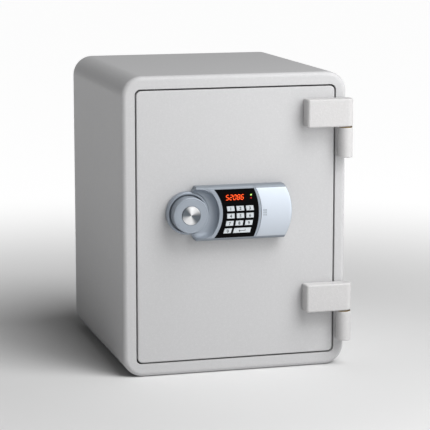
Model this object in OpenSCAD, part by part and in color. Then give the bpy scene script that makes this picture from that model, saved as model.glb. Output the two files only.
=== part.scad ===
// Fire-resistant room safe: filled steel body, hinged door, knob lock with keypad.
// Millimetres. +X right seen from the front, +Y back, +Z up, origin at the base centre.

/* [Body] */
// Width of the body
body_w = 384; // [380:1:410]
// Height of the body
body_h = 500; // [496:1:520]
// Depth of the body without hinges and knob
body_d = 400; // [390:1:460]
// Radius of the four long edges
long_edge_r = 34; // [26:1:40]
// Radius round the front face
front_edge_r = 8; // [7:1:12]
// Radius round the back face
back_edge_r = 7; // [5:1:10]
// Thickness of the casing sheet
sheet_t = 1.5; // [1:0.1:2]

/* [Door] */
// Frame width left of the door
frame_left = 21.7; // [21:0.1:28]
// Frame width right of the door
frame_right = 18.7; // [18:0.1:22]
// Frame width below the door
frame_bottom = 21.6; // [20:0.1:24]
// Frame width above the door
frame_top = 21.4; // [20:0.1:26]
// Gap between the door and its frame
door_gap = 2.6; // [2:0.1:3]
// Depth of the door's folded edge
door_edge = 24; // [22:0.5:26]
// Thickness of the whole door
door_t = 83; // [80:0.5:86]
// Corner radius of the door
door_r = 8; // [6:0.5:10]

/* [Inside] */
// Inside width
room_w = 298; // [290:1:300]
// Height of the inside floor above the base
room_floor = 52; // [50:1:56]
// Inside height
room_h = 399; // [385:1:400]
// Inside depth behind the door
room_d = 266; // [250:1:270]
// Wall of the liner
liner_t = 2.5; // [2:0.1:3]
// Height of the shelf
shelf_z = 254; // [200:1:300]
// Distance between the ledges that can hold the shelf
shelf_step = 100; // [80:1:100]
// Distance between the two anchor holes
anchor_pitch = 220; // [180:5:240]
// Radius of an anchor hole
anchor_r = 6.5; // [5.5:0.1:7]

/* [Hinges] */
// Distance of the pin axis from the body's middle
pin_x = 186.3; // [186:0.1:188]
// Distance of the pin axis in front of the frame
pin_y = 13; // [12.9:0.1:14]
// Radius of the barrels
barrel_r = 12; // [11.5:0.1:12.6]
// Radius of the pins
pin_r = 5; // [4:0.1:6]
// Height of a door arm
arm_h = 47; // [40:0.5:50]
// Length of a door arm left of the pin axis
arm_reach = 70; // [65:0.5:80]
// Height of a frame barrel
barrel_h = 50; // [40:0.5:52]

/* [Lock] */
// Height of the lock's middle line
lock_z = 272.8; // [268:0.1:276]
// Height of the lock case
case_h = 90; // [88:1:92]
// How far the lock case stands out of the door
case_t = 22; // [20:0.5:24]
// Distance of the knob axis left of the body's middle
knob_x = 84.8; // [84:0.1:86]
// Radius of the knob
knob_r = 29.5; // [28:0.5:30]
// How far the knob stands out of the door
knob_t = 33; // [30:0.5:35]
// Radius of the ring round the knob
ring_r = 35.4; // [35:0.1:36]
// Height of the ring
ring_t = 12; // [10:0.5:13]
// Width of a key
key_w = 12.6; // [11:0.1:13]
// Height of a key
key_h = 8; // [7:0.1:9]
// Teeth of the pinion
pinion_teeth = 12; // [12:1:14]
// Module of the pinion
pinion_m = 2; // [2:0.1:2]

/* [Hidden] */
$fn = 96;
eps = 0.01;
clear = 0.3;

// Door opening and door outline, in the front view
open_x = [-body_w/2 + frame_left, body_w/2 - frame_right];
open_z = [frame_bottom, body_h - frame_top];
door_x = [open_x[0] + door_gap, open_x[1] - door_gap];
door_z = [open_z[0] + door_gap, open_z[1] - door_gap];

// Jamb: a first step behind the door's folded edge and a narrower throat
jamb_step = door_edge + 4;
jamb_back = door_t + 2;
throat_x = 160;
throat_z = [40, 463];
throat_r = 3;
jamb_x = [open_x[0] - 4.8, open_x[1] + 5];
jamb_z = [open_z[0] - 4.8, open_z[1] + 4.8];
jamb_r = 12;

// Plug: the part of the door that enters the throat, narrower at its back to swing clear
plug_front = door_edge + 0.2;
plug_x = [158.5, 147.2];
plug_z = [[41.5, 461.5], [53.5, 449.5]];
plug_t = 2.5;

// Lock works inside the door
plate_y = [50, 52];
bolt_r = 9;
bolt_y = 66;
bolt_z = [lock_z - 79, lock_z + 81];
bolt_tip_x = -149;
bolt_play = 1.2;
fixed_tip_x = 167;
pocket_end_x = 174;
block_half = 14;
carriage_y = [56, 59];
flange_x = [-112, -109];
pitch_r = pinion_m*pinion_teeth/2;
pressure = 25;
tooth_top = 1.6;
backlash = 0.4;
throw = pitch_r*PI/2;
knob_z = lock_z + 1;
latch = [-40, knob_z + 20.5];
studs = [[-42, knob_z - 31.5], [-75, knob_z + 32.5]];
cable_at = [4, latch[1]];

// Lock case outline: two bowed ends
case_left = -86;
case_right = 92;
end_r = 80;
case_wall = 2;
case_edge_r = 6;
bowl_at = [-89, lock_z - 0.5];
bowl_r = 54.6;
bowl_depth = 12;
bowl_rim = 3;
fascia_left = [-89.2, 61];
fascia_right = [-62.2, 95.7];
fascia_half = 40.2;
fascia_t = 2;
fascia_ledge = 3.6;
cover_arc = [-47.1, 85];
cover_gap = 0.5;
grip_at = [41.7, lock_z - 6.5];
grip_pitch = [2.2, 4];

// Keys: rows follow the bowed sides of the fascia, so each row leans its own way
key_pitch = [16.4, 12.25];
key_left = [-22.1, -21.2, -22.4, -25.2];
key_lean = [1.4, 0.2, -1.4, -2.6];
key_top_z = lock_z + 11.8;
key_rise = 1;

board_x = [-28, 26.4];
board_y = [-11.6, -10];
board_half = 37;
switch_y = -13.4;
standoff_x = [-22, 22];
standoff_half = 33;

display_x = [-27.2, 10.8];
display_z = [lock_z + 18.1, lock_z + 34.6];
led_at = [19.9, lock_z + 29.5];
led_pitch = 5.3;
cell_r = 7.25;
cell_l = 50.5;
cell_x = 31.2;
cell_y = -10.8;
cell_pitch = 15;

// ---------- helpers ----------

// Moves a piece from the front-plane frame (y = 0 at the frame's face) to the base-centre frame
module placed() translate([0, -body_d/2, 0]) children();

// Extrudes a front-view shape (x, z) from depth y0 to y1
module slab(y0, y1) translate([0, y1, 0]) rotate([90, 0, 0]) linear_extrude(y1 - y0) children();

// Front-view rectangle with round corners
module round_rect(x, z, r) {
    translate([x[0] + r, z[0]]) square([x[1] - x[0] - 2*r, z[1] - z[0]]);
    translate([x[0], z[0] + r]) square([x[1] - x[0], z[1] - z[0] - 2*r]);
    for (cx = [x[0] + r, x[1] - r], cz = [z[0] + r, z[1] - r]) translate([cx, cz]) circle(r);
}

module rect(x, z) translate([x[0], z[0]]) square([x[1] - x[0], z[1] - z[0]]);

// Box given by its limits
module block(x, y, z) translate([x[0], y[0], z[0]]) cube([x[1] - x[0], y[1] - y[0], z[1] - z[0]]);

// Cylinder along Y from y0 to y1 at (x, z)
module rod_y(r, y0, y1, at = [0, 0]) translate([at[0], y1, at[1]]) rotate([90, 0, 0]) cylinder(r = r, h = y1 - y0);

// Cylinder along X from x0 to x1 at (y, z)
module rod_x(r, x0, x1, at = [0, 0]) translate([x0, at[0], at[1]]) rotate([0, 90, 0]) cylinder(r = r, h = x1 - x0);

// Turns a profile (radius, height in front of the door) about an axis along Y
module turned(at) translate([at[0], 0, at[1]]) rotate([90, 0, 0]) rotate_extrude() children();

// ---------- body ----------

module quarter(r) intersection() {
    circle(r);
    square(r);
}

// One end of the body, from its face at y = 0 to depth e, with edges rounded to radius e
module rounded_end(w, h, r, e) {
    slab(0, e) rect([-w/2 + r, w/2 - r], [e, h - e]);
    for (s = [0, 1]) mirror([s, 0, 0]) {
        slab(0, e) rect([w/2 - r, w/2 - e], [r, h - r]);
        translate([w/2 - e, e, r]) linear_extrude(h - 2*r) mirror([0, 1]) quarter(e);
        for (t = [0, 1]) translate([0, 0, t*h]) mirror([0, 0, t]) translate([w/2 - r, e, r])
            rotate([90, 0, 0]) mirror([0, 1, 0]) rotate_extrude(angle = 90) {
                square([r - e, e]);
                translate([r - e, 0]) quarter(e);
            }
    }
    for (t = [0, 1]) translate([-w/2 + r, e, t*h]) mirror([0, 0, t]) translate([0, 0, e])
        rotate([90, 0, 90]) linear_extrude(w - 2*r) mirror([1, 0]) mirror([0, 1]) quarter(e);
}

// Body shape with every outer edge rounded, shrunk all round by inset
module soft_box(inset) {
    w = body_w - 2*inset;
    h = body_h - 2*inset;
    d = body_d - 2*inset;
    r = long_edge_r - inset;
    f = front_edge_r - inset;
    b = back_edge_r - inset;
    translate([0, inset, inset]) {
        slab(f, d - b) round_rect([-w/2, w/2], [0, h], r);
        rounded_end(w, h, r, f);
        translate([0, d, 0]) mirror([0, 1, 0]) rounded_end(w, h, r, b);
    }
}

rear_x = [-body_w/2 + 22, body_w/2 - 22];
rear_z = [22, body_h - 22];

module outer_shell() color("gainsboro") placed() difference() {
    soft_box(0);
    soft_box(sheet_t);
    slab(-1, sheet_t + 1) round_rect(open_x, open_z, door_r + door_gap/2);
    slab(body_d - sheet_t - 1, body_d + 1) round_rect(rear_x, rear_z, 14);
    anchor_holes(anchor_r + 2.6, -1, 5);
}

module rear_panel() color("gainsboro") placed() difference() {
    slab(body_d - 2*sheet_t - 0.1, body_d - sheet_t - 0.1)
        round_rect(rear_x + [-7, 7], rear_z + [-7, 7], 14);
    for (x = [rear_x[0] - 3.5, rear_x[1] + 3.5], z = [60, body_h/2, body_h - 60])
        rod_y(1.6, body_d - 5, body_d, [x, z]);
}

module anchor_holes(r, z0, z1)
    for (s = [-1, 1]) translate([s*anchor_pitch/2, body_d/2, z0]) cylinder(r = r, h = z1 - z0);

room_z = [room_floor, room_floor + room_h];
room_y = [jamb_back, jamb_back + room_d];
liner_x = room_w/2 + liner_t;
liner_z = [room_z[0] - liner_t, room_z[1] + liner_t];

module body_insulation() color("darkkhaki") placed() difference() {
    inset = sheet_t + 1;
    slab(front_edge_r + 2, body_d - 8)
        round_rect([-body_w/2 + inset, body_w/2 - inset], [inset, body_h - inset], long_edge_r - inset);
    block(jamb_x + [-clear, clear], [0, jamb_back + liner_t + clear], jamb_z + [-clear, clear]);
    block([-liner_x - clear, liner_x + clear], [50, room_y[1] + liner_t + clear],
        liner_z + [-clear, clear]);
    anchor_holes(anchor_r + 2.6, -1, 60);
    for (z = bolt_z) rod_x(bolt_r + bolt_play, -body_w/2 + 12, -150, [bolt_y, z]);
}

module inner_liner() color("silver") placed() {
    ledge = [6, 4];
    difference() {
        union() {
            block([-liner_x, liner_x], [room_y[0], room_y[1] + liner_t], liner_z);
            block(jamb_x, [room_y[0], room_y[0] + liner_t], jamb_z);
        }
        block([-room_w/2, room_w/2], [0, room_y[1]], room_z);
        anchor_holes(anchor_r + 2.6, -1, 60);
    }
    for (s = [0, 1], level = [-1:1]) mirror([s, 0, 0]) {
        z = shelf_z - ledge[1] + level*shelf_step;
        block([room_w/2 - ledge[0], room_w/2], [room_y[0] + 12, room_y[1]], [z, z + ledge[1]]);
    }
}

module door_frame() color("silver") placed() difference() {
    pocket = [50, 79];
    slab(sheet_t + 0.2, jamb_back - 0.1) round_rect(jamb_x, jamb_z, jamb_r);
    slab(0, jamb_step) round_rect(open_x, open_z, door_r + door_gap/2);
    slab(0, jamb_back + 1) round_rect([-throat_x, throat_x], throat_z, throat_r);
    for (z = bolt_z) {
        rod_x(bolt_r + bolt_play, jamb_x[0] - 1, -150, [bolt_y, z]);
        block([150, pocket_end_x], pocket, [z - 13, z + 13]);
    }
}

module frame_seal() color("dimgray") placed() slab(jamb_step - 1.5, jamb_step) difference() {
    round_rect(open_x + [0.8, -0.8], open_z + [0.8, -0.8], door_r);
    round_rect(open_x + [3.6, -3.6], open_z + [3.6, -3.6], door_r - 3);
}

module strike_plate() color("lightsteelblue") placed() difference() {
    block([-throat_x, -throat_x + 2], [52, 80], [bolt_z[0] - 30, bolt_z[1] + 30]);
    for (z = bolt_z) rod_x(bolt_r + 1, -170, -150, [bolt_y, z]);
    for (z = [bolt_z[0] - 20, (bolt_z[0] + bolt_z[1])/2, bolt_z[1] + 20])
        rod_x(2, -170, -150, [bolt_y, z]);
}

module shelf() color("silver") placed() {
    lip = 12;
    front = room_y[0] + 8;
    block([-room_w/2 + 1, room_w/2 - 1], [front, room_y[1] - 4], [shelf_z, shelf_z + sheet_t]);
    block([-room_w/2 + 8, room_w/2 - 8], [front, front + sheet_t], [shelf_z - lip, shelf_z]);
}

module anchor_sleeves() color("lightsteelblue") placed() difference() {
    anchor_holes(anchor_r + 2.5, 0, room_floor);
    anchor_holes(anchor_r, -1, room_floor + 1);
}

// ---------- hinges ----------

hinge_z = [97.5, 409.5];
washer_t = 2;
blind = 5;

// Vertical cylinder on a hinge axis
module on_pin(r, z0, z1) translate([pin_x, -pin_y, z0]) cylinder(r = r, h = z1 - z0);

module hinge_barrel(z) color("gainsboro") placed() {
    top = z - washer_t;
    bottom = top - barrel_h;
    difference() {
        union() {
            on_pin(barrel_r, bottom, top);
            block([pin_x - 10, body_w/2 - 0.8], [-pin_y, 7], [bottom, top]);
        }
        block([150, body_w/2 - front_edge_r], [0, 20], [bottom - 1, top + 1]);
        translate([body_w/2 - front_edge_r, front_edge_r, bottom - 1])
            cylinder(r = front_edge_r, h = barrel_h + 2);
        on_pin(pin_r + 0.02, bottom + blind, top + 1);
    }
}

module hinge_arm(z) color("gainsboro") placed() difference() {
    union() {
        block([pin_x - arm_reach, pin_x], [-pin_y - barrel_r, 0], [z, z + arm_h]);
        on_pin(barrel_r, z, z + arm_h);
    }
    block([door_x[1] - 0.5, pin_x + 20], [-pin_y + barrel_r, 1], [z - 1, z + arm_h + 1]);
    on_pin(pin_r + 0.06, z - 1, z + arm_h - blind);
}

module hinge_barrel_upper() hinge_barrel(hinge_z[1]);
module hinge_barrel_lower() hinge_barrel(hinge_z[0]);
module hinge_arm_upper() hinge_arm(hinge_z[1]);
module hinge_arm_lower() hinge_arm(hinge_z[0]);

module hinge_pins() color("lightsteelblue") placed() for (z = hinge_z)
    on_pin(pin_r, z - washer_t - barrel_h + blind, z + arm_h - blind - 1);

module hinge_washers() color("goldenrod") placed() for (z = hinge_z) difference() {
    on_pin(barrel_r - 0.6, z - washer_t, z - 0.1);
    on_pin(pin_r + 0.2, z - washer_t - 1, z + 1);
}

// ---------- door ----------

module door_skin() color("gainsboro") placed() difference() {
    slab(0, door_edge) round_rect(door_x, door_z, door_r);
    slab(sheet_t, door_edge + 1)
        round_rect(door_x + [sheet_t, -sheet_t], door_z + [sheet_t, -sheet_t], door_r - sheet_t);
    rod_y(8.1, -1, 5, [-knob_x, knob_z]);
    rod_y(4, -1, 5, cable_at);
}

module door_insulation() color("darkkhaki") placed() difference() {
    inset = sheet_t + 0.2;
    union() {
        slab(inset, door_edge - 0.1)
            round_rect(door_x + [inset, -inset], door_z + [inset, -inset], door_r - inset);
        slab(door_edge - 0.1, plate_y[0] - 0.1)
            rect([-plug_x[1] - 3, plug_x[1] + 3], [plug_z[0][0] + 8, plug_z[0][1] - 8]);
    }
    rod_y(8.1, -1, 60, [-knob_x, knob_z]);
    rod_y(4, -1, 60, cable_at);
    cover_screw_sites(2.2, 40, 60);
}

screw_x = [-125, 0, 125];
screw_z = [75, 429];
module cover_screw_sites(r, y0, y1) for (x = screw_x, z = screw_z) rod_y(r, y0, y1, [x, z]);

module mechanism_plate() color("lightsteelblue") placed() difference() {
    slab(plate_y[0], plate_y[1]) rect([-144, 144], [60, 442]);
    rod_y(8.2, 40, 60, [-knob_x, knob_z]);
    rod_y(4, 40, 60, cable_at);
    cover_screw_sites(2.2, 40, 60);
}

// Tapered block between the plug's front and back, shrunk all round by inset
module plug(inset, y1) {
    span = door_t - plug_front;
    function at(front, back, y) = front + (back - front)*(y - plug_front)/span;
    y0 = plug_front - (inset > 0 ? 1 : 0);
    x0 = at(plug_x[0], plug_x[1], y0) - inset;
    x1 = at(plug_x[0], plug_x[1], y1) - inset;
    intersection() {
        translate([0, 0, 30]) linear_extrude(440) polygon([[-x0, y0], [x0, y0], [x1, y1], [-x1, y1]]);
        rotate([90, 0, 90]) linear_extrude(400, center = true) polygon([
            [y0, at(plug_z[0][0], plug_z[1][0], y0) + inset],
            [y1, at(plug_z[0][0], plug_z[1][0], y1) + inset],
            [y1, at(plug_z[0][1], plug_z[1][1], y1) - inset],
            [y0, at(plug_z[0][1], plug_z[1][1], y0) - inset]
        ]);
    }
}

module door_inner_cover() color("silver") placed() difference() {
    union() {
        difference() {
            plug(0, door_t);
            plug(plug_t, door_t - plug_t);
        }
        cover_screw_sites(6, plate_y[1] + 0.1, door_t - plug_t + eps);
    }
    cover_screw_sites(2.2, 40, door_t + 1);
    for (z = bolt_z) {
        rod_x(bolt_r + 0.4, -170, -140, [bolt_y, z]);
        rod_x(bolt_r + 0.2, 140, 170, [bolt_y, z]);
    }
}

module inner_cover_screws() color("lightsteelblue") placed() {
    cover_screw_sites(2, 44, door_t + eps);
    cover_screw_sites(4.5, door_t, door_t + 1.4);
}

module door_seal() color("dimgray") placed() slab(door_edge + 0.1, jamb_step - 0.5) difference() {
    rect([-throat_x - 5, throat_x + 5], throat_z + [-5, 5]);
    rect([-throat_x + 0.6, throat_x - 0.6], throat_z + [0.6, -0.6]);
}

// ---------- lock works ----------

module bolt_guides() color("lightsteelblue") placed() for (z = bolt_z) difference() {
    block([-144, -134], [plate_y[1], 78], [z - block_half, z + block_half]);
    rod_x(bolt_r + 0.05, -150, -130, [bolt_y, z]);
}

module fixed_bolts() color("lightsteelblue") placed() for (z = bolt_z) {
    block([126, 138], [plate_y[1], 78], [z - block_half, z + block_half]);
    rod_x(bolt_r, 137, fixed_tip_x, [bolt_y, z]);
}

module guide_studs() color("lightsteelblue") placed() for (at = studs) {
    rod_y(6, plate_y[1], carriage_y[0] - 0.2, at);
    rod_y(4, carriage_y[0] - 0.3, carriage_y[1] + 0.4, at);
    rod_y(6, carriage_y[1] + 0.3, carriage_y[1] + 2.3, at);
}

module spindle_sleeve() color("lightsteelblue") placed() difference() {
    rod_y(8, -4, plate_y[1], [-knob_x, knob_z]);
    rod_y(5.06, -5, 60, [-knob_x, knob_z]);
}

module spindle() color("lightsteelblue") placed() rod_y(5, -28, 64, [-knob_x, knob_z]);

// Involute of a circle of radius b, unwound by a degrees
function involute(b, a) = b*[cos(a) + a*PI/180*sin(a), sin(a) - a*PI/180*cos(a)];
function turn(p, a) = [p[0]*cos(a) - p[1]*sin(a), p[0]*sin(a) + p[1]*cos(a)];
// Angle that an involute from radius b unwinds by when it reaches radius r
function unwound(b, r) = sqrt(r*r/(b*b) - 1)*180/PI;

// Front view of the pinion, centred on its axis, with a tooth pointing down
module pinion_profile() {
    base = pitch_r*cos(pressure);
    tip = pitch_r + tooth_top;
    root = pitch_r - tooth_top - 0.8;
    at_pitch = unwound(base, pitch_r) - pressure;
    half = 90/pinion_teeth - backlash/4/pitch_r*180/PI;
    steps = 6;
    flank = [for (i = [0:steps]) turn(involute(base, unwound(base, tip)*i/steps), -half - at_pitch)];
    tooth = concat(
        [turn([root*0.7, 0], -half - at_pitch)],
        flank,
        [for (i = [steps:-1:0]) [flank[i][0], -flank[i][1]]],
        [turn([root*0.7, 0], half + at_pitch)]
    );
    circle(root);
    for (i = [0:pinion_teeth - 1]) rotate(-90 + i*360/pinion_teeth) polygon(tooth);
}

module pinion() color("lightsteelblue") placed() difference() {
    slab(carriage_y[0] - 0.3, carriage_y[1] + 0.3) translate([-knob_x, knob_z]) pinion_profile();
    rod_y(5, 50, 65, [-knob_x, knob_z]);
}

// Slot along X that clears a round of radius r while the carriage is thrown
module throw_slot(at, r) {
    translate([at[0], at[1] - r]) square([throw, 2*r]);
    for (x = [0, throw]) translate([at[0] + x, at[1]]) circle(r);
}

module bolt_carriage() color("slategray") placed() {
    window_r = pitch_r + tooth_top + 1.6;
    pitch = PI*pinion_m;
    half_top = pitch/4 - backlash/4 - tooth_top*tan(pressure);
    half_root = pitch/4 - backlash/4 + (tooth_top + 0.8)*tan(pressure);
    slab(carriage_y[0], carriage_y[1]) {
        difference() {
            rect([flange_x[0], -12], [knob_z - 41.5, knob_z + 41.5]);
            rect([-knob_x - window_r, -knob_x + throw + window_r],
                [knob_z - pitch_r - tooth_top - 0.8, knob_z + window_r]);
            throw_slot(studs[0], 4.2);
            throw_slot(studs[1], 4.2);
            for (x = [0, throw]) translate([latch[0] + x, latch[1]]) circle(4);
        }
        for (i = [-2:6]) translate([-knob_x + (i - 0.5)*pitch, knob_z - pitch_r])
            polygon([
                [-half_root, -tooth_top - 0.9], [half_root, -tooth_top - 0.9],
                [half_top, tooth_top], [-half_top, tooth_top]
            ]);
    }
    block(flange_x, [carriage_y[0], 76], [bolt_z[0] - 12, bolt_z[1] + 12]);
}

module lock_bolts() color("lightsteelblue") placed() for (z = bolt_z)
    rod_x(bolt_r, bolt_tip_x, flange_x[0], [bolt_y, z]);

module solenoid() color("dimgray") placed() {
    half = 10;
    foot = [-9, -7];
    z = [latch[1] - half, latch[1] + half];
    difference() {
        block([latch[0] - half, latch[0] + half], [62, 79.5], z);
        rod_y(3.6, 60, 77, latch);
    }
    block([latch[0] + half - eps, foot[1]], [62, 64], z);
    block(foot, [plate_y[1], 62 + eps], z);
}

module solenoid_plunger() color("lightsteelblue") placed() rod_y(3.5, 60.5, 75, latch);

module lock_cable() color("black") placed() {
    r = 2;
    bend = 6;
    end_y = 70;
    rod_y(r, -9.8, end_y - bend, cable_at);
    translate([cable_at[0] - bend, end_y - bend, cable_at[1]])
        rotate_extrude(angle = 90) translate([bend, 0]) circle(r);
    rod_x(r, latch[0] + 10, cable_at[0] - bend, [end_y, cable_at[1]]);
}

// ---------- lock case ----------

// Front view of the lock case, shrunk all round by inset
module case_outline(inset) difference() {
    rect([case_left + inset, case_right - inset],
        [lock_z - case_h/2 + inset, lock_z + case_h/2 - inset]);
    for (s = [-1, 1]) {
        centre = s < 0 ? case_left + end_r : case_right - end_r;
        difference() {
            translate([centre + (s < 0 ? -120 : 40), lock_z - 60]) square([80, 120]);
            translate([centre, lock_z]) circle(end_r - inset);
        }
    }
}

// Lock case as a solid, its top and bottom front edges rounded in three flats
module case_solid(inset) intersection() {
    r = case_edge_r - inset;
    half = case_h/2 - inset;
    arc = [for (i = [0:3]) [-case_t + inset + r - r*sin(i*30), half - r + r*cos(i*30)]];
    slab(-case_t + inset, 0) case_outline(inset);
    translate([0, 0, lock_z]) rotate([90, 0, 90]) linear_extrude(300, center = true)
        polygon(concat(
            [[1, half]], arc,
            [for (i = [3:-1:0]) [arc[i][0], -arc[i][1]]], [[1, -half]]
        ));
}

// Space right of the cover's bowed left edge, moved left by shift
module cover_side(shift) slab(-60, 20) difference() {
    rect([0, 200], [100, 450]);
    translate([cover_arc[0] - shift, lock_z]) circle(cover_arc[1]);
    rect([-200, 20 - shift], [100, 450]);
}

// Hollow round the knob that leaves room for fingers, with a rim above and below it
module bowl(grow) intersection() {
    flat = bowl_r - bowl_depth;
    half = case_h/2 - bowl_rim + grow;
    turned(bowl_at) {
        translate([0, case_t - bowl_depth - grow]) square([flat, 40]);
        intersection() {
            translate([flat, case_t]) circle(bowl_depth + grow);
            translate([0, case_t - bowl_depth - grow]) square([100, bowl_depth + grow]);
        }
        translate([0, case_t]) square([bowl_r + grow, 20]);
    }
    slab(-60, 0) rect([-160, 0], [lock_z - half, lock_z + half]);
}

module fascia_outline(grow) difference() {
    rect([-60, 60], [lock_z - fascia_half - grow, lock_z + fascia_half + grow]);
    translate([fascia_left[0], lock_z]) circle(fascia_left[1] - grow);
    difference() {
        rect([-20, 80], [lock_z - 60, lock_z + 60]);
        translate([fascia_right[0], lock_z]) circle(fascia_right[1] + grow);
    }
}

module lock_base() color("dimgray") placed() {
    difference() {
        slab(-2, -0.05) case_outline(case_wall + 0.3);
        rod_y(ring_r + 0.5, -5, 1, [-knob_x, knob_z]);
        rod_y(4, -5, 1, cable_at);
    }
    for (x = standoff_x, z = [lock_z - standoff_half, lock_z + standoff_half])
        rod_y(2.5, board_y[1] + 0.1, -1.9, [x, z]);
}

module lock_housing() color("silver") placed() difference() {
    case_solid(0);
    difference() {
        case_solid(case_wall);
        bowl(case_wall);
        slab(-case_t, -case_t + fascia_ledge) fascia_outline(2.5);
    }
    bowl(0);
    rod_y(ring_r + 0.2, -40, 1, [-knob_x, knob_z]);
    slab(-case_t - 1, -case_t + fascia_t + 0.05) fascia_outline(0.15);
    slab(-case_t - 1, -case_t + 5) fascia_outline(-1.5);
    cover_side(0);
}

module knob_ring() color("silver") placed() turned([-knob_x, knob_z]) {
    wall = 4;
    difference() {
        square([ring_r, ring_t - 2]);
        square([8.1, 40]);
        translate([0, 5]) square([ring_r - wall, 40]);
    }
    translate([ring_r - wall, ring_t - 2 - eps]) square([wall - 2, 2]);
    translate([ring_r - 2, ring_t - 2 - eps]) quarter(2);
}

module keypad_fascia() color("black") placed() difference() {
    slab(-case_t, -case_t + fascia_t) fascia_outline(0);
    slab(-case_t - 1, 0) {
        for (k = keys) key_outline(k, 0.25);
        round_rect(display_x, display_z, 1);
    }
    for (i = [0, 1]) rod_y(1.65, -40, 0, led_at - [0, i*led_pitch]);
}

module display_lens() color("darkred") placed()
    slab(-case_t, -case_t + 1.6) round_rect(display_x, display_z, 1);

module display_module() color("dimgray") placed()
    slab(-case_t + 1.8, board_y[0] - 0.1) rect(display_x + [1, -1], display_z + [1, -1]);

module led(i) placed() rod_y(1.5, -case_t - 0.4, board_y[0] - 0.1, led_at - [0, i*led_pitch]);
module led_green() color("yellowgreen") led(0);
module led_red() color("red") led(1);

module circuit_board() color("darkgreen") placed() {
    slab(board_y[0], board_y[1]) rect(board_x, [lock_z - board_half, lock_z + board_half]);
    for (k = keys) rod_y(3, switch_y, board_y[0] + 0.1, key_centre(k));
}

module battery_tray() color("dimgray") placed() difference() {
    z = [lock_z - 2*cell_pitch - 1.2, lock_z + 2*cell_pitch + 1.2];
    block([cell_x - 4, cell_x + cell_l + 1.5], [-16, -2.1], z);
    block([cell_x - 3, cell_x + cell_l + 0.5], [-17, -3.3], z + [1.2, -1.2]);
}

module battery_cells() color("darkorange") placed() for (i = [0:3]) {
    flip = i % 2;
    translate([cell_x + flip*cell_l, cell_y, lock_z + (i - 1.5)*cell_pitch])
        rotate([0, flip ? -90 : 90, 0]) {
            cylinder(r = cell_r, h = cell_l - 1.5);
            cylinder(r = 2.7, h = cell_l);
        }
}

module battery_contacts() color("lightsteelblue") placed() for (i = [0:3]) {
    z = lock_z + (i - 1.5)*cell_pitch;
    block([cell_x - 3, cell_x - 2.5], [-16, -5], [z - 5, z + 5]);
    rod_x(3, cell_x - 2.6, cell_x, [cell_y, z]);
    block([cell_x + cell_l, cell_x + cell_l + 0.5], [-16, -5], [z - 5, z + 5]);
}

module battery_cover() color("silver") placed() {
    rib = [0.8, 3];
    difference() {
        intersection() {
            case_solid(0);
            cover_side(-cover_gap);
        }
        case_solid(case_wall);
        block([-100, 200], [-0.6, 1], [200, 350]);
    }
    for (i = [0:2], j = [0:2])
        slab(-case_t - 0.5, -case_t + eps)
            translate(grip_at + [grip_pitch[0]*i, grip_pitch[1]*j]) square(rib);
}

// ---------- knob ----------

module knob() color("silver") placed() turned([-knob_x, knob_z]) difference() {
    union() {
        translate([0, 6]) square([knob_r, knob_t - 7.5]);
        translate([0, knob_t - 2]) square([knob_r - 1.5, 2]);
        translate([knob_r - 1.5, knob_t - 1.5 - eps]) quarter(1.5);
    }
    square([5, 28]);
    translate([0, knob_t - 2.5]) square([15.6, 5]);
    translate([9, 0]) square([16, 22]);
}

module knob_cap() color("whitesmoke") placed() turned([-knob_x, knob_z])
    translate([0, knob_t - 2.5]) polygon([[0, 0], [15.4, 0], [15.4, 2.6], [14.6, 3.2], [0, 2.4]]);

// ---------- keys ----------

keys = ["1", "2", "3", "4", "5", "6", "7", "8", "9", "0", "enter"];
function key_index(k) = search([k], keys)[0];
function key_row(k) = floor(key_index(k)/3);
function key_column(k) = key_index(k) % 3;
function key_width(k) = k == "enter" ? key_w + key_pitch[0] : key_w;
function key_corner_at(k) =
    [key_left[key_row(k)] + key_column(k)*key_pitch[0], key_top_z - key_row(k)*key_pitch[1]];
function key_centre(k) = key_corner_at(k) + [(key_width(k) + key_lean[key_row(k)])/2, -key_h/2];

// Leaning key face with its top left corner at the row's left end
module key_outline(k, grow) {
    lean = key_lean[key_row(k)];
    w = key_width(k);
    translate(key_corner_at(k)) polygon([
        [-grow, grow], [w + grow, grow], [w + lean + grow, -key_h - grow], [lean - grow, -key_h - grow]
    ]);
}

module key(k) color("silver") placed() {
    slab(-case_t - key_rise, -case_t + fascia_t + 0.3) key_outline(k, 0);
    slab(-case_t + fascia_t + 0.2, -case_t + fascia_t + 1.2) key_outline(k, 0.8);
    rod_y(2, -case_t + fascia_t + 1.1, switch_y - 1, key_centre(k));
}

module key_1() key("1");
module key_2() key("2");
module key_3() key("3");
module key_4() key("4");
module key_5() key("5");
module key_6() key("6");
module key_7() key("7");
module key_8() key("8");
module key_9() key("9");
module key_0() key("0");
module key_enter() key("enter");

outer_shell();
rear_panel();
body_insulation();
inner_liner();
door_frame();
frame_seal();
strike_plate();
shelf();
anchor_sleeves();
hinge_barrel_upper();
hinge_barrel_lower();
hinge_pins();
hinge_washers();
door_skin();
door_insulation();
mechanism_plate();
door_inner_cover();
inner_cover_screws();
door_seal();
hinge_arm_upper();
hinge_arm_lower();
bolt_guides();
fixed_bolts();
guide_studs();
spindle_sleeve();
solenoid();
solenoid_plunger();
lock_base();
lock_housing();
knob_ring();
keypad_fascia();
display_lens();
display_module();
led_green();
led_red();
circuit_board();
battery_tray();
battery_cells();
battery_contacts();
lock_cable();
battery_cover();
knob();
knob_cap();
spindle();
pinion();
bolt_carriage();
lock_bolts();
key_1();
key_2();
key_3();
key_4();
key_5();
key_6();
key_7();
key_8();
key_9();
key_0();
key_enter();
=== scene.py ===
"""Looks of an in room safe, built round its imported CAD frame.

The safe is a powder coated steel body with a plug door on two outside hinges, a knob that throws
two bolts, and a silver keypad lock with a sliding battery cover.
"""

from __future__ import annotations

import logging
import math
from collections.abc import Callable, Iterable, Sequence
from dataclasses import dataclass, field
from enum import Enum

import bmesh
import bpy
from mathutils import Matrix, Vector

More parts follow.
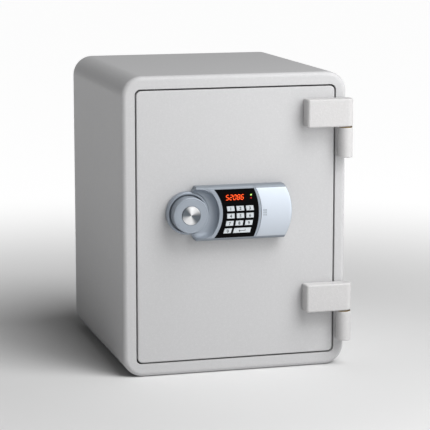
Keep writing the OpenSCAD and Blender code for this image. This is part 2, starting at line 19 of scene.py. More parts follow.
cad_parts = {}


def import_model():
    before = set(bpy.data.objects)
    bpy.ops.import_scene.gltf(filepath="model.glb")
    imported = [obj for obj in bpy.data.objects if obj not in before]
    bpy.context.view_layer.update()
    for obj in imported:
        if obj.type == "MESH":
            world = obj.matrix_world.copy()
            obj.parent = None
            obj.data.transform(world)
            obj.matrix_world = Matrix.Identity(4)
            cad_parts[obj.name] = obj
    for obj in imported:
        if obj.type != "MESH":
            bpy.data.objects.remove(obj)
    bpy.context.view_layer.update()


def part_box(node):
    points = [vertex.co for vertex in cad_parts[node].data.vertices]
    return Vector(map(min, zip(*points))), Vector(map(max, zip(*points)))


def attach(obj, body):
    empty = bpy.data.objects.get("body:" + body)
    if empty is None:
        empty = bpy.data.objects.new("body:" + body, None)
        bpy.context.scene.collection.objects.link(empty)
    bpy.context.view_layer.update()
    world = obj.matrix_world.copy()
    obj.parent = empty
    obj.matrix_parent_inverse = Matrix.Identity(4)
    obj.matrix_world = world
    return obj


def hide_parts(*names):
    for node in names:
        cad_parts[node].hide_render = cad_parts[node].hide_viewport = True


LOG = logging.getLogger("in_room_safe")
MM = 0.001
MERGE = 2e-6
FRONT = -200.0  # the body's front plane, in millimetres
COAT_ROUGHNESS = 0.08
BUMP_STRENGTH = 0.6
LEAST_MIX = 0.25  # share of the lighter tone where the grain is lowest

Point2 = tuple[float, float]
Shader = bpy.types.Material


# ---------------------------------------------------------------- nodes and finishes


def linear(hex_colour: str) -> tuple[float, float, float, float]:
    """Turns an sRGB hex colour into linear light.

    Args:
        hex_colour: Colour such as "#c8ccd2".

    Returns:
        Red, green, blue and alpha from 0 to 1.
    """
    parts = [int(hex_colour[i : i + 2], 16) / 255 for i in (1, 3, 5)]
    lit = [p / 12.92 if p <= 0.04045 else ((p + 0.055) / 1.055) ** 2.4 for p in parts]
    return (lit[0], lit[1], lit[2], 1.0)


def add_node(tree: bpy.types.NodeTree, kind: str, inputs: dict | None = None, **settings) -> bpy.types.Node:
    """Adds a node with its settings and links.

    Args:
        tree: Shader or geometry tree that the node goes into.
        kind: Blender's type name of the node.
        inputs: Socket name or index to a value, or to an output socket to link from.
        **settings: Properties of the node itself.

    Returns:
        The new node.
    """
    node = tree.nodes.new(kind)
    for name, value in settings.items():
        setattr(node, name, value)
    for socket, value in (inputs or {}).items():
        if isinstance(value, bpy.types.NodeSocket):
            tree.links.new(value, node.inputs[socket])
        else:
            node.inputs[socket].default_value = value
    return node


class Grain(Enum):
    """How a surface was made, which decides the pattern that its nodes draw."""

    SPRAYED = "powder or paint that dried in small pebbles"
    MOULDED = "fine spark texture of a mould"
    BRUSHED = "long scratches along X"
    SPUN = "rings cut on a lathe, round the knob's axis"
    CAST = "poured fill with pores"
    POLISHED = "smooth, with only a faint haze"


@dataclass(frozen=True)
class Finish:
    """One surface finish of the safe.

    Attributes:
        name: Material name, after what the real one is.
        colour: sRGB hex colour.
        roughness: Middle roughness.
        metallic: 1 for bare metal, between for metallic paint.
        grain: How the surface was made.
        grain_mm: Size of the grain.
        depth_mm: Height of the grain.
        shade: How far the colour strays from its middle, as a share.
        shade_mm: Size of the patches of colour.
        coat: Weight of a clear coat.
        glow: sRGB hex colour of its own light, if any.
        glow_strength: Strength of that light.
        centre: Middle of the rings on a spun surface, in metres.
        ior: Refractive index.
        painted_light: How much lighter the top is drawn as painted light, and darker the foot as painted
            shade, as a share.
        painted_light_z: Heights between which the painted light and shade run, in metres.
    """

    name: str
    colour: str
    roughness: float
    metallic: float = 0.0
    grain: Grain = Grain.MOULDED
    grain_mm: float = 0.6
    depth_mm: float = 0.01
    shade: float = 0.03
    shade_mm: float = 40.0
    coat: float = 0.0
    glow: str = ""
    glow_strength: float = 0.0
    centre: tuple[float, float, float] = (0.0, 0.0, 0.0)
    ior: float = 1.5
    painted_light: float = 0.0
    painted_light_z: tuple[float, float] = (0.0, 0.5)

    def build(self) -> Shader:
        """Returns the material, made once."""
        known = bpy.data.materials.get(self.name)
        return known if known else self._make()

    def _make(self) -> Shader:
        """Builds the node tree of the material.

        Returns:
            The new material.
        """
        material = bpy.data.materials.new(self.name)
        material.use_nodes = True
        tree = material.node_tree
        shader = tree.nodes["Principled BSDF"]
        shader.inputs["Metallic"].default_value = self.metallic
        shader.inputs["IOR"].default_value = self.ior
        shader.inputs["Coat Weight"].default_value = self.coat
        shader.inputs["Coat Roughness"].default_value = COAT_ROUGHNESS
        if self.glow:
            shader.inputs["Emission Color"].default_value = linear(self.glow)
            shader.inputs["Emission Strength"].default_value = self.glow_strength
        place = add_node(tree, "ShaderNodeTexCoord").outputs["Object"]
        grain = self._grain(tree, place)
        self._colour(tree, place, grain, shader)
        spread = 0.06 if self.grain is not Grain.POLISHED else 0.015
        limits = {"To Min": max(0.02, self.roughness - spread), "To Max": self.roughness + spread}
        rough = add_node(tree, "ShaderNodeMapRange", {"Value": grain, **limits})
        tree.links.new(rough.outputs["Result"], shader.inputs["Roughness"])
        relief = {"Strength": BUMP_STRENGTH, "Distance": self.depth_mm * MM, "Height": grain}
        bump = add_node(tree, "ShaderNodeBump", relief)
        tree.links.new(bump.outputs["Normal"], shader.inputs["Normal"])
        return material

    def _colour(
        self,
        tree: bpy.types.NodeTree,
        place: bpy.types.NodeSocket,
        grain: bpy.types.NodeSocket,
        shader: bpy.types.Node,
    ) -> None:
        """Lets the colour stray in broad patches, and a little with the grain.

        Args:
            tree: Node tree of the material.
            place: Object coordinates.
            grain: Height of the grain, 0 to 1.
            shader: The principled shader.
        """
        patches = add_node(
            tree, "ShaderNodeTexNoise", {"Vector": place, "Scale": 1 / (self.shade_mm * MM), "Detail": 3.0}
        )
        base = linear(self.colour)
        dark = tuple(c * (1 - self.shade) for c in base[:3]) + (1.0,)
        light = tuple(min(1.0, c * (1 + self.shade)) for c in base[:3]) + (1.0,)
        terms = {0: grain, 1: patches.outputs["Fac"], 2: LEAST_MIX}
        fine = add_node(tree, "ShaderNodeMath", terms, operation="MULTIPLY_ADD").outputs["Value"]
        mix = add_node(tree, "ShaderNodeMix", {"Factor": fine, "A": dark, "B": light}, data_type="RGBA")
        colour = mix.outputs["Result"]
        # Painted light and shade: the colour is scaled lighter towards the top and darker towards the foot.
        if self.painted_light:
            height = add_node(tree, "ShaderNodeSeparateXYZ", {0: place}).outputs["Z"]
            low, high = self.painted_light_z
            span = {"From Min": low, "From Max": high, "To Min": 1 - self.painted_light, "To Max": 1 + self.painted_light}
            share = add_node(tree, "ShaderNodeMapRange", {"Value": height, **span}).outputs["Result"]
            scaled = add_node(tree, "ShaderNodeVectorMath", {0: colour, "Scale": share}, operation="SCALE")
            colour = scaled.outputs["Vector"]
        tree.links.new(colour, shader.inputs["Base Color"])

    def _grain(self, tree: bpy.types.NodeTree, place: bpy.types.NodeSocket) -> bpy.types.NodeSocket:
        """Draws the height of the grain.

        Args:
            tree: Node tree of the material.
            place: Object coordinates.

        Returns:
            A socket that runs from about 0 to 1.
        """
        scale = 1 / (self.grain_mm * MM)
        if self.grain is Grain.SPRAYED:
            pebble = {"Vector": place, "Scale": scale, "Smoothness": 0.9}
            cells = add_node(tree, "ShaderNodeTexVoronoi", pebble, feature="SMOOTH_F1")
            broad = {"Vector": place, "Scale": scale * 0.55, "Detail": 4.0}
            noise = add_node(tree, "ShaderNodeTexNoise", broad)
            pair = {0: cells.outputs["Distance"], 1: noise.outputs["Fac"]}
            return add_node(tree, "ShaderNodeMath", pair, operation="MULTIPLY").outputs["Value"]
        if self.grain is Grain.BRUSHED:
            along = add_node(tree, "ShaderNodeMapping", {"Vector": place, "Scale": (0.03, 1.0, 1.0)})
            noise = add_node(
                tree, "ShaderNodeTexNoise", {"Vector": along.outputs["Vector"], "Scale": scale, "Detail": 6.0}
            )
            return noise.outputs["Fac"]
        if self.grain is Grain.SPUN:
            shift = tuple(-c for c in self.centre)
            centred = add_node(tree, "ShaderNodeMapping", {"Vector": place, "Location": shift})
            rings = add_node(
                tree,
                "ShaderNodeTexWave",
                {"Vector": centred.outputs["Vector"], "Scale": scale / 6, "Distortion": 0.4, "Detail": 2.0},
                wave_type="RINGS",
                rings_direction="Y",
            )
            return rings.outputs["Fac"]
        detail = {Grain.MOULDED: 4.0, Grain.CAST: 9.0, Grain.POLISHED: 1.0}[self.grain]
        noise = add_node(tree, "ShaderNodeTexNoise", {"Vector": place, "Scale": scale, "Detail": detail})
        return noise.outputs["Fac"]


# Polyester powder coat on steel: a fine pebble that breaks up reflections. The pebble is drawn at
# 1.6 mm, coarser than such a coat has, so that it still shows.
POWDER = Finish("powder_coat_off_white", "#c6c6c7", 0.6, 0.0, Grain.SPRAYED, 1.6, 0.12, 0.15, 5.0)
# Powder coat on the cast hinge parts, drawn with a coarser and deeper pebble.
POWDER_COARSE = Finish("powder_coat_on_castings", "#c9c8c8", 0.66, 0.0, Grain.SPRAYED, 2.4, 0.45, 0.16, 4.0)
# Lightweight mineral fill: pale, matt, full of pores.
FILL = Finish("mineral_fill", "#b9af9a", 0.92, 0.0, Grain.CAST, 3.0, 0.8, 0.12, 12.0)
# Injection moulded ABS lining, light grey with a fine spark texture.
LINING = Finish("moulded_abs_light_grey", "#cfd0cf", 0.5, 0.0, Grain.MOULDED, 0.8, 0.03, 0.02, 60.0)
# Graphite strip that swells in a fire: dark grey and dull.
SEAL = Finish("graphite_seal_strip", "#2b2c2d", 0.85, 0.0, Grain.CAST, 1.2, 0.15, 0.15, 8.0)
# Bright zinc plate on turned and pressed steel, with drawing lines.
ZINC = Finish("bright_zinc_plate", "#b6babd", 0.3, 1.0, Grain.BRUSHED, 0.5, 0.01, 0.06, 15.0)
# Ground and polished steel of the bolts.
BOLT = Finish("ground_bolt_steel", "#c9cccf", 0.2, 1.0, Grain.BRUSHED, 0.35, 0.006, 0.03, 20.0)
# Painted sheet steel: even, with a soft shine.
SHELF = Finish("painted_shelf_sheet", "#c4c5c6", 0.45, 0.0, Grain.SPRAYED, 1.2, 0.05, 0.02, 30.0)
# Turned brass: a dull yellow line between arm and barrel, its colour darkened as painted shade of the narrow
# gap there.
BRASS = Finish("turned_brass", "#7d6a45", 0.3, 1.0, Grain.BRUSHED, 0.3, 0.01, 0.06, 6.0)
# Blackened steel: dark, with a dim metal shine.
COIL_CASE = Finish("blackened_steel", "#2d2e31", 0.45, 1.0, Grain.POLISHED, 2.0, 0.005, 0.08, 8.0)
# Moulded black ABS: near black and matt.
BLACK_ABS = Finish("moulded_abs_black", "#17181a", 0.55, 0.0, Grain.MOULDED, 0.5, 0.02, 0.1, 20.0)
# Metallic paint on ABS: a soft silver blue under a thin clear coat.
SILVER = Finish("metallic_paint_silver", "#979fa9", 0.5, 0.35, Grain.MOULDED, 0.35, 0.006, 0.03, 12.0, 0.1)
# The same paint darkened as painted shade, on the long rounded edges of the case and cover, the cover's
# rounded end and its grip ribs.
SILVER_SHADED = Finish("metallic_paint_shaded", "#868d95", 0.6, 0.3, Grain.MOULDED, 0.35, 0.006, 0.03, 12.0)
# A paler tone of it on the battery cover, with painted light towards its top and painted shade towards its
# foot.
SILVER_PALE_LIT = Finish(
    "metallic_paint_pale_painted_light", "#c9d1db", 0.5, 0.25, Grain.MOULDED, 0.35, 0.006, 0.03, 12.0, 0.1,
    painted_light=0.28, painted_light_z=(0.232, 0.312),
)
# Cast acrylic, back painted black: deep and glossy. Its IOR is set below the real 1.49, so that it
# mirrors little of the pale room.
ACRYLIC = Finish("black_acrylic", "#050506", 0.12, 0.0, Grain.POLISHED, 8.0, 0.004, 0.1, 20.0, ior=1.12)
# The same acrylic in smoked red: nearly black. The digits are drawn on its face.
WINDOW = Finish("smoked_red_acrylic", "#0c0303", 0.08, 0.0, Grain.POLISHED, 8.0, 0.004, 0.1, 20.0, ior=1.12)
# Lit parts: orange segments, a green lamp that is on and a red one that is nearly off.
LIT = Finish(
    "lit_segments_orange", "#ff5a14", 0.4, 0.0, Grain.POLISHED, 2.0, 0.0, 0.05, 3.0,
    glow="#ff4a12", glow_strength=1.2,
)
LED_GREEN = Finish(
    "lit_led_green", "#a8c878", 0.3, 0.0, Grain.POLISHED, 2.0, 0.0, 0.05, 3.0,
    glow="#c8ff7a", glow_strength=0.8,
)
LED_RED = Finish(
    "dim_led_red", "#8a1410", 0.3, 0.0, Grain.POLISHED, 2.0, 0.0, 0.05, 3.0,
    glow="#ff2010", glow_strength=0.2,
)
# Solder mask: a glossy dark green skin.
BOARD = Finish("green_solder_mask", "#0f4a2a", 0.35, 0.0, Grain.MOULDED, 0.8, 0.02, 0.2, 3.0, 0.5)
# Printed film shrunk round a cell: a graphite body and a copper band.
JACKET = Finish("cell_jacket_graphite", "#3a3d42", 0.28, 0.3, Grain.POLISHED, 2.0, 0.005, 0.05, 10.0, 0.4)
JACKET_BAND = Finish("cell_jacket_copper", "#b06c34", 0.3, 0.6, Grain.POLISHED, 2.0, 0.005, 0.05, 10.0, 0.4)
# Painted key caps: pale silver with a light shine.
KEY_TOP = Finish("metallic_paint_keys", "#ccd2d6", 0.34, 0.25, Grain.MOULDED, 0.3, 0.004, 0.03, 4.0, 0.3)
# Screen printed ink: near black and matt.
INK = Finish("printed_ink_dark", "#12181f", 0.5, 0.0, Grain.POLISHED, 1.0, 0.0, 0.05, 2.0)
# Painted studio floor: pale and matt.
FLOOR = Finish("studio_floor", "#dadada", 0.8, 0.0, Grain.POLISHED, 50.0, 0.0, 0.005, 400.0)


# ---------------------------------------------------------------- mesh helpers


class Facing(Enum):
    """Direction that the height of a lathed or extruded piece runs in."""

    FRONT = (0.0, -1.0, 0.0)
    LEFT = (-1.0, 0.0, 0.0)
    RIGHT = (1.0, 0.0, 0.0)
    UP = (0.0, 0.0, 1.0)

    def place(self, centre: Vector) -> Matrix:
        """Returns the matrix that turns local Z to this direction and moves the origin to centre."""
        turn = {
            Facing.FRONT: Matrix(((1, 0, 0), (0, 0, -1), (0, 1, 0))),
            Facing.LEFT: Matrix(((0, 0, -1), (1, 0, 0), (0, -1, 0))),
            Facing.RIGHT: Matrix(((0, 0, 1), (0, 1, 0), (-1, 0, 0))),
            Facing.UP: Matrix.Identity(3),
        }[self]
        return Matrix.Translation(centre) @ turn.to_4x4()


def arc(centre: Point2, radius: float, start: float, end: float, steps: int) -> list[Point2]:
    """Points along an arc, ends included.

    Args:
        centre: Middle of the arc.
        radius: Its radius.
        start: First angle in degrees.
        end: Last angle in degrees.
        steps: Number of chords.

    Returns:
        steps + 1 points.
    """
    angles = [math.radians(start + (end - start) * i / steps) for i in range(steps + 1)]
    return [(centre[0] + radius * math.cos(a), centre[1] + radius * math.sin(a)) for a in angles]


def circle(centre: Point2, radius: float, segments: int = 48) -> list[Point2]:
    """Returns the points round a circle, the first on its right."""
    return arc(centre, radius, 0, 360 * (segments - 1) / segments, segments - 1)


def dome(radius: float, base: float, rise: float) -> list[Point2]:
    """Returns the (radius, height) profile of a dome, from its rim to its top."""
    steps = 6
    turns = [math.radians(90 * i / steps) for i in range(steps + 1)]
    return [(radius * math.cos(a), base + rise * math.sin(a)) for a in turns]


def round_rect(x: Point2, z: Point2, radius: float, steps: int = 10) -> list[Point2]:
    """Outline of a rectangle with round corners, anticlockwise from the bottom left corner.

    Args:
        x: Lowest and highest x.
        z: Lowest and highest z.
        radius: Corner radius.
        steps: Chords in each corner.

    Returns:
        The outline's points.
    """
    corners = [
        ((x[0] + radius, z[0] + radius), 180),
        ((x[1] - radius, z[0] + radius), 270),
        ((x[1] - radius, z[1] - radius), 0),
        ((x[0] + radius, z[1] - radius), 90),
    ]
    return [p for centre, start in corners for p in arc(centre, radius, start, start + 90, steps)]


def new_piece(
    name: str, shape: bmesh.types.BMesh, *finishes: Finish, closed: bool = True
) -> bpy.types.Object:
    """Turns a bmesh into an object of the scene, merged and facing outwards.

    Args:
        name: Name of the piece.
        shape: Its shape, which is freed.
        *finishes: Finishes in the order of the faces' material numbers.
        closed: Whether to recalculate the normals, as a closed solid allows.

    Returns:
        The new object, at the origin.
    """
    bmesh.ops.remove_doubles(shape, verts=shape.verts, dist=MERGE)
    bmesh.ops.dissolve_degenerate(shape, edges=shape.edges, dist=MERGE)
    if closed:
        bmesh.ops.recalc_face_normals(shape, faces=shape.faces)
    for face in shape.faces:
        face.smooth = True
    mesh = bpy.data.meshes.new(name)
    shape.to_mesh(mesh)
    shape.free()
    for finish in finishes:
        mesh.materials.append(finish.build())
    piece = bpy.data.objects.new(name, mesh)
    bpy.context.scene.collection.objects.link(piece)
    return piece


def add_rings(
    shape: bmesh.types.BMesh,
    rings: Sequence[Sequence[Vector]],
    looped: bool = False,
    capped: bool = False,
    number: int = 0,
) -> None:
    """Skins closed rings of equal length.

    Args:
        shape: Mesh that takes the faces.
        rings: Rings of points in order along the skin.
        looped: Whether the last ring joins the first.
        capped: Whether a face closes each end.
        number: Material number of the faces.
    """
    rows = [[shape.verts.new(p) for p in ring] for ring in rings]
    pairs = list(zip(rows, rows[1:])) + ([(rows[-1], rows[0])] if looped else [])
    for low, high in pairs:
        for i in range(len(low)):
            j = (i + 1) % len(low)
            shape.faces.new((low[i], low[j], high[j], high[i])).material_index = number
    if capped:
        for row in (rows[0], rows[-1]):
            shape.faces.new(row).material_index = number


def add_lathe(
    shape: bmesh.types.BMesh,
    profile: Sequence[Point2],
    place: Matrix,
    segments: int = 96,
    number: int = 0,
) -> None:
    """Turns a closed profile of (radius, height) points in millimetres into a solid.

    Args:
        shape: Mesh that takes the faces.
        profile: Points of the profile. If it starts on the axis, its two ends meet there.
        place: Puts local Z along the axis.
        segments: Faces round the axis.
        number: Material number of the faces.
    """
    rings = []
    for radius, height in profile:
        ring = circle((0, 0), max(radius, 0.0) * MM, segments)
        rings.append([place @ Vector((x, y, height * MM)) for x, y in ring])
    solid_core = profile[0][0] < 1e-6
    add_rings(shape, rings, looped=not solid_core, number=number)


def add_prism(
    shape: bmesh.types.BMesh,
    outline: Sequence[Point2],
    low: float,
    high: float,
    place: Matrix,
    number: int = 0,
) -> None:
    """Extrudes an outline in millimetres along local Z.

    Args:
        shape: Mesh that takes the faces.
        outline: Points of the outline.
        low: Height of the first face.
        high: Height of the last face.
        place: Puts local Z along the extrusion.
        number: Material number of the faces.
    """
    rings = [[place @ Vector((x * MM, y * MM, h * MM)) for x, y in outline] for h in (low, high)]
    add_rings(shape, rings, capped=True, number=number)


def bevelled(
    piece: bpy.types.Object, width_mm: float, segments: int = 3, angle: float = 32
) -> bpy.types.Object:
    """Rounds the sharp edges of a piece.

    Args:
        piece: Piece to round.
        width_mm: Width of the rounding.
        segments: Faces across it.
        angle: Smallest angle in degrees that counts as an edge.

    Returns:
        The same piece.
    """
    bevel = piece.modifiers.new("edges", "BEVEL")
    bevel.width = width_mm * MM
    bevel.segments = segments
    bevel.limit_method = "ANGLE"
    bevel.angle_limit = math.radians(angle)
    normals = piece.modifiers.new("normals", "WEIGHTED_NORMAL")
    normals.weight = 80
    return piece


def weighted(piece: bpy.types.Object, angle: float = 35) -> bpy.types.Object:
    """Keeps flat faces flat in smooth shading, with edges past angle left sharp."""
    piece.data.set_sharp_from_angle(angle=math.radians(angle))
    normals = piece.modifiers.new("normals", "WEIGHTED_NORMAL")
    normals.keep_sharp = True
    return piece


def cut(piece: bpy.types.Object, cutter: bmesh.types.BMesh) -> bpy.types.Object:
    """Takes a cutter's volume out of a piece and removes the cutter.

    Args:
        piece: Closed piece to cut.
        cutter: Closed solid or solids.

    Returns:
        The same piece, with the cut in its mesh.
    """
    tool = new_piece("cutter", cutter)
    boolean = piece.modifiers.new("cut", "BOOLEAN")
    boolean.object = tool
    boolean.operation = "DIFFERENCE"
    boolean.solver = "EXACT"
    apply_modifiers(piece)
    bpy.data.objects.remove(tool)
    return piece


def apply_modifiers(piece: bpy.types.Object) -> bpy.types.Object:
    """Bakes the modifiers of a piece into its mesh."""
    graph = bpy.context.evaluated_depsgraph_get()
    made = bpy.data.meshes.new_from_object(piece.evaluated_get(graph))
    piece.modifiers.clear()
    old, piece.data = piece.data, made
    bpy.data.meshes.remove(old)
    return piece


def from_node(name: str, node: str, finish: Finish, width_mm: float, segments: int = 3) -> bpy.types.Object:
    """Copies a CAD node into a clean piece with rounded edges.

    Args:
        name: Name of the piece.
        node: CAD node to copy.
        finish: Its finish.
        width_mm: Width of the rounding, 0 for none.
        segments: Faces across the rounding.

    Returns:
        The new piece.
    """
    shape = bmesh.new()
    shape.from_mesh(bpy.data.objects[node].data)
    bmesh.ops.remove_doubles(shape, verts=shape.verts, dist=MERGE)
    flat = math.radians(0.4)
    bmesh.ops.dissolve_limit(shape, angle_limit=flat, verts=shape.verts, edges=shape.edges)
    for face in shape.faces:
        face.material_index = 0
    piece = new_piece(name, shape, finish, closed=False)
    return bevelled(piece, width_mm, segments) if width_mm else weighted(piece)


def fit(piece: bpy.types.Object, body: str, slot: str, *nodes: str) -> bpy.types.Object:
    """Puts a finished piece on its body and hides the CAD nodes that it replaces.

    Args:
        piece: The piece.
        body: CAD body that it moves with.
        slot: Name of its material slot; not used.
        *nodes: CAD nodes that it replaces.

    Returns:
        The same piece.
    """
    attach(piece, body)
    if nodes:
        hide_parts(*nodes)
    LOG.info("%s: %d faces on %s", piece.name, len(piece.data.polygons), body)
    return piece


def coat_node(finish: Finish, *nodes: str) -> None:
    """Gives CAD nodes that stay a finish of their own."""
    for node in nodes:
        mesh = bpy.data.objects[node].data
        mesh.materials.clear()
        mesh.materials.append(finish.build())
        LOG.info("%s keeps its CAD shape, in %s", node, finish.name)


# ---------------------------------------------------------------- what repeats


@dataclass(frozen=True)
class Grid:
    """Copies of one small part at the points of a flat grid, made by geometry nodes.

    Attributes:
        columns: Copies along X.
        rows: Copies along Z.
        step_x: Distance between columns in metres.
        step_z: Distance between rows in metres.
        middle: Middle of the grid in metres.
    """

    columns: int
    rows: int
    step_x: float
    step_z: float
    middle: tuple[float, float, float]

    def tree(self, name: str, part: bpy.types.Object, finish: Finish) -> bpy.types.NodeTree:
        """Builds the node tree.

        Args:
            name: Name of the tree.
            part: Object that is repeated.
            finish: Finish of the copies.

        Returns:
            A geometry tree whose inputs are the grid's sizes.
        """
        tree = bpy.data.node_groups.new(name, "GeometryNodeTree")
        face = tree.interface
        face.new_socket("Geometry", in_out="OUTPUT", socket_type="NodeSocketGeometry")
        face.new_socket("Geometry", in_out="INPUT", socket_type="NodeSocketGeometry")
        for label, kind in (
            ("Columns", "NodeSocketInt"),
            ("Rows", "NodeSocketInt"),
            ("Width", "NodeSocketFloat"),
            ("Height", "NodeSocketFloat"),
            ("Middle", "NodeSocketVector"),
        ):
            face.new_socket(label, in_out="INPUT", socket_type=kind)
        given = add_node(tree, "NodeGroupInput").outputs
        grid = add_node(
            tree,
            "GeometryNodeMeshGrid",
            {
                "Size X": given["Width"],
                "Size Y": given["Height"],
                "Vertices X": given["Columns"],
                "Vertices Y": given["Rows"],
            },
        )
        upright = add_node(
            tree,
            "GeometryNodeTransform",
            {
                "Geometry": grid.outputs["Mesh"],
                "Translation": given["Middle"],
                "Rotation": (math.pi / 2, 0.0, 0.0),
            },
        )
        source = add_node(tree, "GeometryNodeObjectInfo", {"Object": part})
        copies = add_node(
            tree,
            "GeometryNodeInstanceOnPoints",
            {"Points": upright.outputs["Geometry"], "Instance": source.outputs["Geometry"]},
        )
        real = add_node(tree, "GeometryNodeRealizeInstances", {"Geometry": copies.outputs["Instances"]})
        dressed = add_node(
            tree,
            "GeometryNodeSetMaterial",
            {"Geometry": real.outputs["Geometry"], "Material": finish.build()},
        )
        add_node(tree, "NodeGroupOutput", {"Geometry": dressed.outputs["Geometry"]})
        return tree

    def build(self, name: str, part: bmesh.types.BMesh, finish: Finish) -> bpy.types.Object:
        """Makes the copies as one plain mesh.

        Args:
            name: Name of the piece.
            part: Shape of one copy, round the origin.
            finish: Its finish.

        Returns:
            The new piece.
        """
        source = new_piece(name + "_part", part, finish)
        piece = bpy.data.objects.new(name, bpy.data.meshes.new(name))
        bpy.context.scene.collection.objects.link(piece)
        modifier = piece.modifiers.new("grid", "NODES")
        modifier.node_group = self.tree(name, source, finish)
        values = {
            "Columns": self.columns,
            "Rows": self.rows,
            "Width": self.step_x * (self.columns - 1),
            "Height": self.step_z * (self.rows - 1),
            "Middle": self.middle,
        }
        for item in modifier.node_group.interface.items_tree:
            if item.item_type == "SOCKET" and item.in_out == "INPUT" and item.name in values:
                modifier[item.identifier] = values[item.name]
        apply_modifiers(piece)
        bpy.data.objects.remove(source)
        return weighted(piece)


def rivet(radius: float, rise: float) -> bmesh.types.BMesh:
    """Returns a low domed rivet head, radius and rise in millimetres, facing back."""
    shape = bmesh.new()
    sunk = -0.4
    profile = [(0.0, sunk), (radius, sunk), *dome(radius, 0.0, rise)]
    add_lathe(shape, profile, Matrix.Rotation(-math.pi / 2, 4, "X"), 32)
    return shape


# ---------------------------------------------------------------- cabinet


